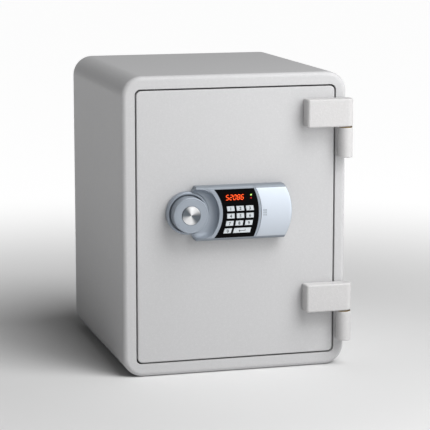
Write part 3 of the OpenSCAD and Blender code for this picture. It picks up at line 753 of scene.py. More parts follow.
@dataclass
class Cabinet:
    """The filled steel body, its jamb, lining and shelf."""

    long_edge: float = 34.0
    front_edge: float = 8.0
    back_edge: float = 7.0
    sheet: float = 1.5
    opening_radius: float = 9.3
    rear_radius: float = 14.0
    lip: float = 0.5
    steps: int = 12
    anchor_hole: float = 9.1

    def build(self) -> None:
        """Builds and dresses every piece of the cabinet."""
        self.shell()
        self.rear()
        fit(from_node("jamb", "door_frame", LINING, 0.9), "cabinet", "liner_plastic", "door_frame")
        fit(from_node("lining", "inner_liner", LINING, 1.6, 4), "cabinet", "liner_plastic", "inner_liner")
        fit(from_node("loose_shelf", "shelf", SHELF, 0.5), "cabinet", "shelf_steel", "shelf")
        fit(from_node("strike_strip", "strike_plate", ZINC, 0.25), "cabinet", "zinc_steel", "strike_plate")
        fit(from_node("jamb_seal", "frame_seal", SEAL, 0.3), "cabinet", "seal_strip", "frame_seal")
        sleeves = from_node("floor_sleeves", "anchor_sleeves", ZINC, 0.3)
        fit(sleeves, "cabinet", "zinc_steel", "anchor_sleeves")
        coat_node(FILL, "body_insulation")

    def ring(self, box: tuple[Point2, Point2], radius: float, y: float) -> list[Vector]:
        """Returns an upright round-cornered ring; the box and radius in millimetres, y in metres."""
        return [Vector((x * MM, y, z * MM)) for x, z in round_rect(*box, radius, self.steps)]

    def shell(self) -> None:
        """Bends the outer sheet: front rim, soft long edges, back rim and both returns."""
        low, high = (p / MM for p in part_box("outer_shell"))
        front, back = low.y * MM, high.y * MM
        door_low, door_high = (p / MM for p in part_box("door_frame"))
        inset, hinge_inset, rear_inset = 4.8, 5.0, 22.0
        opening = ((door_low.x + inset, door_high.x - hinge_inset), (door_low.z + inset, door_high.z - inset))
        rear = ((low.x + rear_inset, high.x - rear_inset), (low.z + rear_inset, high.z - rear_inset))

        def grown(box: tuple[Point2, Point2], by: float) -> tuple[Point2, Point2]:
            """Returns the box grown all round."""
            return ((box[0][0] - by, box[0][1] + by), (box[1][0] - by, box[1][1] + by))

        body = ((low.x, high.x), (low.z, high.z))
        rings = []
        # front lip of the opening, from inside the gap to the rim's face
        for angle in range(0, 91, 30):
            a = math.radians(angle)
            by = self.lip * (1 - math.cos(a))
            y = front + self.lip * (1 - math.sin(a)) * MM
            rings.append(self.ring(grown(opening, by), self.opening_radius + by, y))
        flat, flat_turn = 6.0, 4.0
        rings.append(self.ring(grown(opening, flat), self.opening_radius + flat_turn, front))
        rings += self._corner(body, self.front_edge, front, 1)
        depth, bays = back - front, 8
        rings += [self.ring(body, self.long_edge, front + depth * i / bays) for i in range(1, bays)]
        rings += self._corner(body, self.back_edge, back, -1)[::-1]
        rings.append(self.ring(grown(rear, self.lip), self.rear_radius + self.lip, back))
        rings.append(self.ring(rear, self.rear_radius, back - self.lip * MM))
        rings.append(self.ring(rear, self.rear_radius, back - self.sheet * MM))
        inner = grown(body, -self.sheet)
        rings += self._corner(inner, self.back_edge - self.sheet, back - self.sheet * MM, -1)
        rings += self._corner(inner, self.front_edge - self.sheet, front + self.sheet * MM, 1)[::-1]
        rings.append(self.ring(opening, self.opening_radius, front + self.sheet * MM))
        shape = bmesh.new()
        add_rings(shape, rings, looped=True)
        piece = weighted(new_piece("casing", shape, POWDER))
        holes = bmesh.new()
        for centre in self._anchor_centres():
            add_prism(holes, circle((0, 0), self.anchor_hole), -5, 5, Facing.UP.place(centre))
        cut(piece, holes)
        fit(weighted(piece), "cabinet", "powder_coat", "outer_shell")

    @staticmethod
    def _anchor_centres() -> list[Vector]:
        """Returns the centres of the two anchor holes on the underside."""
        low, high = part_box("anchor_sleeves")
        radius = (high.y - low.y) / 2
        middle = (low.y + high.y) / 2
        return [Vector((x, middle, 0.0)) for x in (low.x + radius, high.x - radius)]

    def _corner(self, box: tuple[Point2, Point2], edge: float, y: float, way: int) -> list[list[Vector]]:
        """Rings round the fillet between an end face and the sides.

        Args:
            box: The body's box in millimetres.
            edge: Radius of the fillet.
            y: Place of the end face in metres.
            way: 1 if the body lies behind the face, -1 if in front of it.

        Returns:
            Rings from the end face to the sides.
        """
        rings = []
        outside = self.long_edge - (self.front_edge - edge if way > 0 else self.back_edge - edge)
        for i in range(self.steps + 1):
            a = math.radians(90 * i / self.steps)
            inset = edge * (1 - math.sin(a))
            shrunk = ((box[0][0] + inset, box[0][1] - inset), (box[1][0] + inset, box[1][1] - inset))
            rings.append(self.ring(shrunk, outside - inset, y + way * edge * (1 - math.cos(a)) * MM))
        return rings

    def rear(self) -> None:
        """Fits the riveted rear panel into the back rim."""
        panel = from_node("rear_cover", "rear_panel", POWDER, 0.3)
        fit(panel, "cabinet", "powder_coat", "rear_panel")
        low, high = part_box("rear_panel")
        rows, margin_x, margin_z = 5, 20.0 * MM, 30.0 * MM
        across = high.x - low.x - 2 * margin_x
        up = (high.z - low.z - 2 * margin_z) / (rows - 1)
        middle = ((low.x + high.x) / 2, high.y, (low.z + high.z) / 2)
        rivets = Grid(2, rows, across, up, middle).build("rear_rivets", rivet(3.2, 1.2), ZINC)
        fit(rivets, "cabinet", "zinc_steel")


# ---------------------------------------------------------------- hinges


@dataclass
class Hinges:
    """Outside hinges: an arm on the door over a barrel on the frame."""

    pin_x: float = 186.3
    pin_y: float = -213.0
    barrel: float = 12.0
    reach: float = 70.0
    corner: float = 5.0
    body_edge: float = 8.0
    seat: float = 0.06
    arm_bore: float = 5.08
    barrel_bore: float = 5.05
    cap: float = 5.0

    def build(self) -> None:
        """Builds both hinges."""
        for side in ("upper", "lower"):
            self.arm(side)
            self.frame_barrel(side)
        fit(from_node("washers", "hinge_washers", BRASS, 0.3), "cabinet", "washer_brass", "hinge_washers")
        coat_node(ZINC, "hinge_pins")

    def arm(self, side: str) -> None:
        """Casts the arm that reaches from the door over the frame to the pin."""
        node = "hinge_arm_" + side
        low, high = (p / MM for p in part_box(node))
        back = FRONT - self.seat
        left = self.pin_x - self.reach
        front = self.pin_y - self.barrel
        outline = [(left, back)]
        outline += arc((left + self.corner, front + self.corner), self.corner, 180, 270, 6)
        outline += arc((self.pin_x, self.pin_y), self.barrel, -90, 88, 28)
        shape = bmesh.new()
        add_prism(shape, outline, low.z, high.z, Matrix.Identity(4))
        piece = new_piece("arm_" + side, shape, POWDER_COARSE)
        bore = bmesh.new()
        hole = circle((self.pin_x, self.pin_y), self.arm_bore)
        add_prism(bore, hole, low.z - 2, high.z - self.cap, Matrix.Identity(4))
        cut(piece, bore)
        fit(bevelled(piece, 3.0, 6), "door", "powder_coat", node)

    def frame_barrel(self, side: str) -> None:
        """Casts the barrel and the foot that is welded to the frame's corner."""
        node = "hinge_barrel_" + side
        low, high = (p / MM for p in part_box(node))
        side_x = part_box("outer_shell")[1].x / MM
        corner = (side_x - self.body_edge, FRONT + self.body_edge)
        foot_x, foot_y, shy = self.pin_x - 10, self.pin_y + 2, 0.6
        foot = [(foot_x, foot_y), (foot_x, FRONT)]
        foot += arc(corner, self.body_edge, -90, -23, 10)
        foot.append((side_x - 1.0, foot_y))
        shape = bmesh.new()
        add_prism(shape, foot, low.z + shy, high.z - shy, Matrix.Identity(4))
        fillet, chamfer, bore = 1.6, 0.8, self.barrel_bore
        tall = high.z - low.z
        profile = [(0.0, self.cap), (bore, self.cap), (bore, tall - 0.4), (bore + 0.55, tall)]
        profile += [(self.barrel - chamfer, tall), (self.barrel, tall - chamfer)]
        profile += arc((self.barrel - fillet, fillet), fillet, 0, -90, 6)
        profile.append((0.0, 0.0))
        add_lathe(shape, profile, Facing.UP.place(Vector((self.pin_x, self.pin_y, low.z)) * MM), 72)
        piece = new_piece("barrel_" + side, shape, POWDER_COARSE)
        fit(weighted(piece), "cabinet", "powder_coat", node)


# ---------------------------------------------------------------- door


@dataclass
class Door:
    """The plug door with its skin, inner cover and bolt work."""

    radius: float = 8.0
    edge: float = 1.4
    sheet: float = 1.5
    spindle_hole: float = 8.2
    cable_hole: float = 4.1
    fixed_radius: float = 9.0

    def build(self) -> None:
        """Builds and dresses every piece of the door apart from the lock case."""
        self.skin()
        self.inner_cover()
        self.bolts()
        fit(from_node("plug_seal", "door_seal", SEAL, 0.3), "door", "seal_strip", "door_seal")
        coat_node(FILL, "door_insulation")
        coat_node(ZINC, "mechanism_plate", "bolt_guides", "guide_studs", "spindle_sleeve", "bolt_carriage")
        coat_node(ZINC, "solenoid_plunger", "battery_contacts")
        coat_node(COIL_CASE, "solenoid")
        coat_node(BLACK_ABS, "lock_cable")

    def skin(self) -> None:
        """Folds the door's outer pan, with soft folds round its face."""
        low, high = (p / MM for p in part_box("door_skin"))

        def ring(by: float, y: float) -> list[Vector]:
            """Returns the door's outline shrunk by some millimetres, at a depth in millimetres."""
            turn = max(self.radius - by, 0.5)
            outline = round_rect((low.x + by, high.x - by), (low.z + by, high.z - by), turn)
            return [Vector((x, y, z)) * MM for x, z in outline]

        rings = [ring(self.edge + 3, low.y)]
        for i in range(7):
            a = math.radians(15 * i)
            rings.append(ring(self.edge * (1 - math.sin(a)), low.y + self.edge * (1 - math.cos(a))))
        burr = 0.3
        rings += [ring(0, high.y - burr), ring(burr, high.y), ring(self.sheet - burr, high.y)]
        rings += [ring(self.sheet, high.y - burr), ring(self.sheet, low.y + self.sheet)]
        shape = bmesh.new()
        add_rings(shape, rings, capped=True)
        piece = new_piece("door_panel", shape, POWDER)
        holes = bmesh.new()
        face = Facing.FRONT.place(Vector((0, low.y * MM, 0)))
        for centre, radius in ((LockPlan.knob, self.spindle_hole), (LockPlan.cable, self.cable_hole)):
            add_prism(holes, circle(centre, radius), -6, 3, face)
        cut(piece, holes)
        fit(weighted(piece), "door", "powder_coat", "door_skin")

    def inner_cover(self) -> None:
        """Closes the plug with a moulded cover and six screws."""
        cover = from_node("plug_cover", "door_inner_cover", LINING, 1.2, 4)
        fit(cover, "door", "liner_plastic", "door_inner_cover")
        low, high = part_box("inner_cover_screws")
        head = 4.5 * MM
        middle = ((low.x + high.x) / 2, high.y - 1.4 * MM, (low.z + high.z) / 2)
        grid = Grid(3, 2, (high.x - low.x) / 2 - head, high.z - low.z - 2 * head, middle)
        screws = grid.build("cover_screws", self.screw(), ZINC)
        fit(screws, "door", "zinc_steel", "inner_cover_screws")

    @staticmethod
    def screw() -> bmesh.types.BMesh:
        """Returns a pan head screw with its shank, facing back, its head's underside at the origin."""
        shape = bmesh.new()
        head, rise, shank, length, point = 4.5, 1.35, 2.0, 38.0, 2.0
        recess, recess_floor = 0.9, rise * 0.35
        profile = [(0.0, -length), (shank * 0.3, -length), (shank, -length + point), (shank, 0.0)]
        profile += [(head, 0.0), (head, rise * 0.45), (head * 0.86, rise * 0.86), (head * 0.62, rise)]
        profile += [(head * 0.3, rise), (recess, recess_floor), (0.0, recess_floor)]
        add_lathe(shape, profile, Matrix.Rotation(-math.pi / 2, 4, "X"), 32)
        return shape

    def bolts(self) -> None:
        """Turns the two moving bolts, and the two fixed ones with their blocks."""
        low, high = (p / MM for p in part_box("lock_bolts"))
        radius = (high.y - low.y) / 2
        shape = bmesh.new()
        for z in (low.z + radius, high.z - radius):
            place = Facing.LEFT.place(Vector((high.x, low.y + radius, z)) * MM)
            add_lathe(shape, self.bolt_profile(radius, high.x - low.x), place, 64)
        fit(weighted(new_piece("moving_bolts", shape, BOLT)), "bolts", "zinc_steel", "lock_bolts")
        low, high = (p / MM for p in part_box("fixed_bolts"))
        radius, block, start, foot, back = self.fixed_radius, 12.0, 11.0, 14.0, 3.0
        profile = self.bolt_profile(radius, high.x - low.x - start)
        shape = bmesh.new()
        for z in (low.z + foot, high.z - foot):
            centre = Vector((low.x + start, high.y - back - radius, z)) * MM
            add_lathe(shape, profile, Facing.RIGHT.place(centre), 64)
            sides = round_rect((low.x, low.x + block), (z - foot, z + foot), 1.0, 3)
            add_prism(shape, sides, -high.y, -low.y, Facing.FRONT.place(Vector((0, 0, 0))))
        fit(weighted(new_piece("dog_bolts", shape, BOLT)), "door", "zinc_steel", "fixed_bolts")

    @staticmethod
    def bolt_profile(radius: float, length: float) -> list[Point2]:
        """Returns the (radius, height) profile of a bolt with a soft chamfer at its tip."""
        soft = 1.8
        tip = arc((radius - soft, length - soft), soft, 0, 90, 6)
        return [(0.0, 0.0), (radius, 0.0), (radius, length * 0.5), *tip, (0.0, length)]


# ---------------------------------------------------------------- lock case


class LockPlan:
    """Places on the lock case that several pieces share, in millimetres, x and z from the front."""

    face = FRONT
    middle_z = 272.8
    knob = (-84.8, 273.8)
    cable = (4.0, 294.3)
    depth = 22.0
    half = 45.0
    rounding = 6.0
    end_radius = 80.0
    left_end = -86.0
    right_end = 92.0
    bowl = (-89.0, 272.3)
    bowl_radius = 54.6
    bowl_depth = 12.0
    bowl_half = 42.0
    # Height from the middle line past which the case's long edges take painted shade.
    shaded_edge_from = 40.0
    fascia_left = (-89.2, 61.0)
    fascia_right = (-62.2, 95.7)
    fascia_half = 40.2
    cover_arc = (-47.1, 85.0)
    ring_radius = 35.6
    bore_foot = 15.0
    bore_top = 30.0
    key_lean = (1.4, 0.2, -1.4, -2.6)
    key_left = (-22.1, -21.2, -22.4, -25.2)
    key_top = 11.8
    key_pitch = (16.4, 12.25)
    key_size = (12.6, 8.0)
    enter_wide = 29.0
    place = Facing.FRONT.place(Vector((0.0, face * MM, 0.0)))

    @classmethod
    def bow(cls, centre_x: float, radius: float, dz: float) -> float:
        """Returns x on the right side of a circle at a height dz from the lock's middle line."""
        return centre_x + math.sqrt(max(radius**2 - dz**2, 0.0))

    @classmethod
    def on_door(cls, x: float, z: float) -> Vector:
        """Returns a point of the door's face in metres."""
        return Vector((x, cls.face, z)) * MM

    @classmethod
    def left(cls, dz: float) -> float:
        """Returns the case's left edge: its own bowed end, or the ring where that is further right."""
        middle = cls.left_end + cls.end_radius
        own = 2 * middle - cls.bow(middle, cls.end_radius, dz)
        off = dz + cls.middle_z - cls.knob[1]
        if abs(off) >= cls.ring_radius:
            return own
        return max(own, cls.bow(cls.knob[0], cls.ring_radius, off))

    @classmethod
    def limit(cls, dz: float) -> float:
        """Returns the greatest height of the case at a height dz from its middle line."""
        past = abs(dz) - (cls.half - cls.rounding)
        if past <= 0:
            return cls.depth
        return cls.depth - cls.rounding + math.sqrt(max(cls.rounding**2 - past**2, 0.0))

    @classmethod
    def bowl_height(cls, x: float, dz: float) -> float:
        """Returns the height of the finger bowl's floor and cove, or the case's face outside it."""
        cove = cls.bowl_depth
        off = dz + cls.middle_z - cls.bowl[1]
        near_round = cove - min(cls.bowl_radius - math.hypot(x - cls.bowl[0], off), cove)
        near_line = cove - min(cls.bowl_half - abs(dz), cove)
        run = min(math.hypot(near_round, near_line), cove)
        return min(cls.limit(dz), cls.depth - math.sqrt(cove**2 - run**2))

    @classmethod
    def rows(cls) -> list[Point2]:
        """Returns (dz, greatest height) up the case: wall, rounding and cove, face, and the same below."""
        flat = cls.half - cls.rounding
        rows, least_gap, middle = 24, 0.12, 0.01
        turn = [p[0] for p in arc((flat, 0), cls.rounding, 8, 90, 6)]
        cove = [cls.bowl_half - cls.bowl_depth * (1 - math.cos(math.radians(10 * i))) for i in range(10)]
        face = [flat * (1 - i / rows) for i in range(rows + 1)]
        levels = []
        for dz in sorted(turn + cove + face, reverse=True):
            if not levels or levels[-1] - dz > least_gap:
                levels.append(dz)
        edge = [(cls.half, height) for height in (0.3, 5.0, 10.0, cls.depth - cls.rounding)]
        upper = edge + [(dz, cls.limit(dz)) for dz in levels]
        return upper + [(-dz, h) for dz, h in reversed(upper) if dz > middle]

    @classmethod
    def point(cls, x: float, dz: float, height: float) -> Vector:
        """Returns a point of the case in metres."""
        return Vector((x, cls.face - height, cls.middle_z + dz)) * MM


@dataclass
class Patch:
    """A sheet of quads over the lock case, thickened to a moulded wall.

    Attributes:
        name: Name of the piece.
        columns: For a row (dz, limit), the (x, height) of each point across.
        hole: Says whether the cell at (row, column) is open.
        shaded_edge_column: First column that takes the painted shade of the edges, past the last if there is
            none.
        wall: Thickness of the wall in millimetres.
    """

    name: str
    columns: Callable[[float, float], list[Point2]]
    hole: Callable[[float, int], bool] = field(default=lambda dz, column: False)
    shaded_edge_column: float = math.inf
    wall: float = 1.9

    def build(self, finish: Finish, edge: Finish) -> bpy.types.Object:
        """Builds the wall.

        Args:
            finish: Its finish.
            edge: Darker finish, painted shade on its rounded long edges.

        Returns:
            The new piece.
        """
        shape = bmesh.new()
        rows = LockPlan.rows()
        grid = []
        for dz, limit in rows:
            grid.append([shape.verts.new(LockPlan.point(x, dz, h)) for x, h in self.columns(dz, limit)])
        for r, (low, high) in enumerate(zip(grid, grid[1:])):
            middle = (rows[r][0] + rows[r + 1][0]) / 2
            for c in range(len(low) - 1):
                if not self.hole(middle, c):
                    face = shape.faces.new((low[c], high[c], high[c + 1], low[c + 1]))
                    # Painted shade: faces on the long rounded edges, and on the columns from the shaded edge
                    # column on, take the darker paint.
                    face.material_index = int(abs(middle) > LockPlan.shaded_edge_from or c >= self.shaded_edge_column)
        piece = new_piece(self.name, shape, finish, edge, closed=False)
        solid = piece.modifiers.new("wall", "SOLIDIFY")
        solid.thickness = self.wall * MM
        solid.offset = -1.0
        apply_modifiers(piece)
        return weighted(piece, 40)


@dataclass
class LockCase:
    """The keypad lock's moulded case, fascia, display, lamps and battery compartment."""

    rim_rise: float = 0.5
    rim_round: float = 0.7
    ring_height: float = 12.0
    bowl_steps: int = 18
    wall_points: int = 3
    bar_points: int = 9
    pocket_cells: int = 6
    face_cells: int = 8
    lamp_hole: float = 1.65
    play: float = 0.05
    display_x: Point2 = (-27.2, 10.8)
    display_z: Point2 = (290.9, 307.4)
    led: Point2 = (19.9, 302.3)
    led_pitch: float = 5.3

    def build(self) -> None:
        """Builds and dresses every piece of the lock case."""
        self.housing()
        self.ring()
        self.fascia()
        self.display()
        self.lamps()
        self.battery_cover()
        self.cells()
        coat_node(BLACK_ABS, "lock_base", "display_module", "battery_tray")
        coat_node(BOARD, "circuit_board")

    def housing_columns(self, dz: float, limit: float) -> list[Point2]:
        """Walks across the housing: left wall, finger bowl, raised rim, fascia pocket, right strip.

        Args:
            dz: Height from the lock's middle line.
            limit: Greatest height of the case there.

        Returns:
            The (x, height) of each point.
        """
        plan = LockPlan
        off = dz + plan.middle_z - plan.bowl[1]
        left = plan.left(dz)
        soft, base, bar_foot = 0.7, 0.1, 0.99
        start, end = left + soft, plan.bow(plan.bowl[0], plan.bowl_radius, off)
        turns = [math.radians(90 * i / self.bowl_steps) for i in range(self.bowl_steps + 1)]
        across = [start + (end - start) * math.sin(a) for a in turns]
        hollow = [(x, min(limit, plan.bowl_height(x, dz))) for x in across]
        low = hollow[0][1]
        points = [(left, base), (left, max(low - soft, base)), (left + soft * 0.3, low - soft * 0.3)]
        points += hollow[:-1]
        raised = limit * (1 + self.rim_rise / plan.depth)
        rim_right = plan.bow(*plan.fascia_left, dz)
        points += self._bar(end, rim_right, limit * bar_foot, raised)
        strip_left = plan.bow(*plan.fascia_right, dz)
        cells = self.pocket_cells
        points += [(rim_right + (strip_left - rim_right) * i / cells, limit) for i in range(1, cells)]
        points += self._bar(strip_left, plan.bow(*plan.cover_arc, dz), limit * bar_foot, limit)
        return points

    def _bar(self, left: float, right: float, low: float, high: float) -> list[Point2]:
        """Returns the points across a bar with two rounded edges."""
        r = min(self.rim_round, (right - left) * 0.3)
        turn = [math.radians(a) for a in (0, 30, 60, 90)]
        up = [(left + r * (1 - math.cos(a)), low + (high - low) * math.sin(a)) for a in turn]
        down = [(right - r * (1 - math.cos(a)), low + (high - low) * math.sin(a)) for a in reversed(turn)]
        return up + [((left + right) / 2, high)] + down

    def housing(self) -> None:
        """Moulds the silver housing with its finger bowl."""
        first = self.wall_points + self.bowl_steps + self.bar_points - 1
        opening = range(first, first + self.pocket_cells)

        def hole(dz: float, column: int) -> bool:
            """Says whether a cell lies in the fascia's pocket."""
            return abs(dz) < LockPlan.fascia_half and column in opening

        # The case's long rounded edges take the darker paint as painted shade.
        piece = Patch("lock_shell", self.housing_columns, hole).build(SILVER, SILVER_SHADED)
        fit(piece, "door", "silver_plastic", "lock_housing")

    def cover_columns(self, dz: float, limit: float) -> list[Point2]:
        """Walks across the battery cover from its bowed seam to its right end wall.

        Args:
            dz: Height from the lock's middle line.
            limit: Greatest height of the case there.

        Returns:
            The (x, height) of each point.
        """
        plan = LockPlan
        seam = plan.bow(*plan.cover_arc, dz) + 0.5
        end = plan.bow(plan.right_end - plan.end_radius, plan.end_radius, dz)
        soft, lip, turns, cells = 4.5, 0.5, 7, self.face_cells
        foot = limit - lip if limit > 1 else limit
        points = [(seam, foot), (seam + lip * 0.3, limit - lip * 0.3), (seam + lip, limit)]
        start, stop = seam + lip, end - soft
        points += [(start + (stop - start) * i / cells, limit) for i in range(1, cells + 1)]
        for i in range(1, turns + 1):
            a = math.radians(90 * i / turns)
            height = plan.depth - soft * (1 - math.cos(a))
            points.append((end - soft * (1 - math.sin(a)), min(limit, height)))
        points += [(end, min(limit, h)) for h in (12.0, 5.0, 0.6)]
        return points

    def battery_cover(self) -> None:
        """Moulds the pale cover, with a grid of small grip ribs."""
        end_turn = 14
        cover = Patch("sliding_cover", self.cover_columns, shaded_edge_column=end_turn)
        # The cover takes painted light towards its top, and painted shade towards its foot, on its long
        # rounded edges and on its rounded end.
        piece = cover.build(SILVER_PALE_LIT, SILVER_SHADED)
        fit(piece, "battery_cover", "silver_plastic", "battery_cover")
        half_wide, half_tall, sunk, rise = 0.4, 1.5, -0.3, 0.35
        outline = round_rect((-half_wide, half_wide), (-half_tall, half_tall), 0.39, 4)
        rib = bmesh.new()
        add_prism(rib, outline, sunk, rise, Facing.FRONT.place(Vector()))
        x, drop, step_x, step_z = 44.3, 1.0, 2.2 * MM, 4.0 * MM
        middle = (x * MM, (LockPlan.face - LockPlan.depth) * MM, (LockPlan.middle_z - drop) * MM)
        # The grip ribs take the darker paint as painted shade.
        ribs = Grid(3, 3, step_x, step_z, middle).build("grip_ribs", rib, SILVER_SHADED)
        fit(ribs, "battery_cover", "silver_plastic")

    def ring(self) -> None:
        """Turns the collar that the knob sits in."""
        outer, wall, top, floor, bore, base = 35.4, 4.0, self.ring_height, 5.0, 8.2, 0.1
        inner = outer - wall
        profile = [(bore, base), (outer - 0.4, base), (outer, 0.5)]
        profile += arc((outer - 2, top - 2), 2, 0, 90, 7)
        profile += arc((inner + 0.9, top - 0.9), 0.9, 90, 180, 5)
        profile += arc((inner - 1, floor + 1), 1, 0, -90, 5)
        profile.append((bore, floor))
        shape = bmesh.new()
        add_lathe(shape, profile, Facing.FRONT.place(LockPlan.on_door(*LockPlan.knob)), 128)
        fit(weighted(new_piece("knob_collar", shape, SILVER)), "door", "silver_plastic", "knob_ring")

    def fascia(self) -> None:
        """Cuts the black acrylic fascia with its key, display and lamp openings."""
        plan = LockPlan
        steps = 24
        levels = [plan.fascia_half * (1 - 2 * i / steps) for i in range(steps + 1)]
        left = [(plan.bow(*plan.fascia_left, dz), plan.middle_z + dz) for dz in levels]
        right = [(plan.bow(*plan.fascia_right, dz), plan.middle_z + dz) for dz in reversed(levels)]
        shape = bmesh.new()
        thick, key_gap = 2.0, 0.25
        add_prism(shape, left + right, plan.depth - thick, plan.depth, plan.place)
        piece = new_piece("key_plate", shape, ACRYLIC)
        openings = [key.outline(key_gap) for key in Key]
        openings.append(round_rect(self.display_x, self.display_z, 1.0, 5))
        for i in range(2):
            openings.append(circle((self.led[0], self.led[1] - i * self.led_pitch), self.lamp_hole, 24))
        holes = bmesh.new()
        for outline in openings:
            add_prism(holes, outline, plan.bore_foot, plan.bore_top, plan.place)
        cut(piece, holes)
        fit(bevelled(piece, 0.15, 2), "door", "fascia_gloss", "keypad_fascia")

    def display(self) -> None:
        """Fits the smoked window, with five lit digits just proud of its face."""
        plan = LockPlan
        shape = bmesh.new()
        (left, right), (foot, top), play = self.display_x, self.display_z, self.play
        fitted = round_rect((left + play, right - play), (foot + play, top - play), 1.0, 5)
        thick, sunk = 1.6, 0.02
        add_prism(shape, fitted, plan.depth - thick, plan.depth - sunk, plan.place)
        fit(weighted(new_piece("display_window", shape, WINDOW)), "door", "display_window", "display_lens")
        digits = bmesh.new()
        pitch, wide, tall, lean = 6.4, 4.1, 8.0, 0.16
        margin_x, margin_z, root, proud = 3.8, 4.3, 0.3, 0.05
        for i, figure in enumerate("52086"):
            corner = (left + margin_x + i * pitch, foot + margin_z)
            for segment in Segment.lit(figure):
                outline = segment.outline(corner, wide, tall, lean)
                add_prism(digits, outline, plan.depth - root, plan.depth + proud, plan.place)
        fit(weighted(new_piece("display_digits", digits, LIT)), "door", "display_window")

    def lamps(self) -> None:
        """Sets the green and the red status lamp."""
        radius, foot, shoulder = 1.5, 11.7, 21.2
        lens = dome(1.2, 21.4, 1.0)
        for i, (node, finish) in enumerate((("led_green", LED_GREEN), ("led_red", LED_RED))):
            place = Facing.FRONT.place(LockPlan.on_door(self.led[0], self.led[1] - i * self.led_pitch))
            shape = bmesh.new()
            add_lathe(shape, [(0.0, foot), (radius, foot), (radius, shoulder), *lens], place, 32)
            fit(weighted(new_piece(node + "_lens", shape, finish)), "door", node, node)

    def cells(self) -> None:
        """Loads four AA cells, each the other way round from its neighbour."""
        low, high = (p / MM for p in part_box("battery_cells"))
        radius, nub, nub_rise, count = 7.25, 2.7, 1.5, 4
        pitch = (high.z - low.z - 2 * radius) / (count - 1)
        length = high.x - low.x
        body = length - nub_rise
        band = body * 0.72
        steel = [(0.0, 0.0), (radius - 0.9, 0.0), (radius - 0.5, 0.35), (0.0, 0.35)]
        lower = [(0.0, 0.3), (radius - 0.4, 0.3), (radius, 0.7), (radius, band), (0.0, band)]
        upper = [(0.0, band), (radius, band), (radius, body - 0.7), (radius - 0.6, body), (0.0, body)]
        top = [(0.0, body), (nub, body), (nub, length - 0.4), (nub - 0.4, length), (0.0, length)]
        shape = bmesh.new()
        for i in range(count):
            way, x = (Facing.LEFT, high.x) if i % 2 else (Facing.RIGHT, low.x)
            start = Vector((x, (low.y + high.y) / 2, low.z + radius + i * pitch)) * MM
            for number, profile in ((0, lower), (1, upper), (2, steel), (2, top)):
                add_lathe(shape, profile, way.place(start), 48, number)
        piece = new_piece("aa_cells", shape, JACKET, JACKET_BAND, ZINC)
        fit(weighted(piece), "door", "cell_jacket", "battery_cells")


class Segment(Enum):
    """One bar of a seven-segment figure: (middle x, middle z, upright) in figure sizes."""

    TOP = (0.5, 1.0, False)
    MIDDLE = (0.5, 0.5, False)
    BOTTOM = (0.5, 0.0, False)
    UPPER_LEFT = (0.0, 0.75, True)
    UPPER_RIGHT = (1.0, 0.75, True)
    LOWER_LEFT = (0.0, 0.25, True)
    LOWER_RIGHT = (1.0, 0.25, True)

    @classmethod
    def lit(cls, figure: str) -> Iterable[Segment]:
        """Yields the bars that a digit lights."""
        off = {
            "0": {cls.MIDDLE},
            "2": {cls.UPPER_LEFT, cls.LOWER_RIGHT},
            "5": {cls.UPPER_RIGHT, cls.LOWER_LEFT},
            "6": {cls.UPPER_RIGHT},
            "8": set(),
        }[figure]
        return (s for s in cls if s not in off)

    def outline(self, corner: Point2, wide: float, tall: float, lean: float) -> list[Point2]:
        """Draws the bar as a leaning hexagon.

        Args:
            corner: Lower left corner of the figure.
            wide: Width of the figure.
            tall: Height of the figure.
            lean: Shift to the right for each unit up.

        Returns:
            Six points in millimetres.
        """
        x, z, upright = self.value
        gap, thin = 0.28, 0.44
        half = (tall / 2 if upright else wide) / 2 - gap
        tip = half - thin
        bar = [(-half, 0.0), (-tip, -thin), (tip, -thin), (half, 0.0), (tip, thin), (-tip, thin)]
        points = [(b, a) if upright else (a, b) for a, b in bar]
        across, up = x * wide, z * tall
        return [(corner[0] + across + a + (up + b) * lean, corner[1] + up + b) for a, b in points]


# ---------------------------------------------------------------- keypad


class Key(Enum):
    """The keys, by what is printed on them: (row, column)."""

    K1 = ("1", 0, 0)
    K2 = ("2", 0, 1)
    K3 = ("3", 0, 2)
    K4 = ("4", 1, 0)
    K5 = ("5", 1, 1)
    K6 = ("6", 1, 2)
    K7 = ("7", 2, 0)
    K8 = ("8", 2, 1)
    K9 = ("9", 2, 2)
    K0 = ("0", 3, 0)
    ENTER = ("enter", 3, 1)

    @property
    def node(self) -> str:
        """Returns the CAD node and body of the key."""
        return "key_" + self.value[0]

    @property
    def lean(self) -> float:
        """Returns how far the row's keys lean towards their foot."""
        return LockPlan.key_lean[self.value[1]]

    @property
    def size(self) -> Point2:
        """Returns width and height in millimetres."""
        wide, tall = LockPlan.key_size
        return (LockPlan.enter_wide if self is Key.ENTER else wide, tall)

    @property
    def corner(self) -> Point2:
        """Returns the top left corner in millimetres."""
        row, column = self.value[1:]
        across, down = LockPlan.key_pitch
        top = LockPlan.middle_z + LockPlan.key_top
        return (LockPlan.key_left[row] + column * across, top - row * down)

    @property
    def centre(self) -> Point2:
        """Returns the middle of the key's face in millimetres."""
        x, z = self.corner
        return (x + (self.size[0] + self.lean) / 2, z - self.size[1] / 2)

    def outline(self, grow: float) -> list[Point2]:
        """Returns the leaning four-sided outline, grown by some millimetres."""
        (x, z), (wide, tall) = self.corner, self.size
        foot = x + self.lean
        return [
            (x - grow, z + grow),
            (foot - grow, z - tall - grow),
            (foot + wide + grow, z - tall - grow),
            (x + wide + grow, z + grow),
        ]


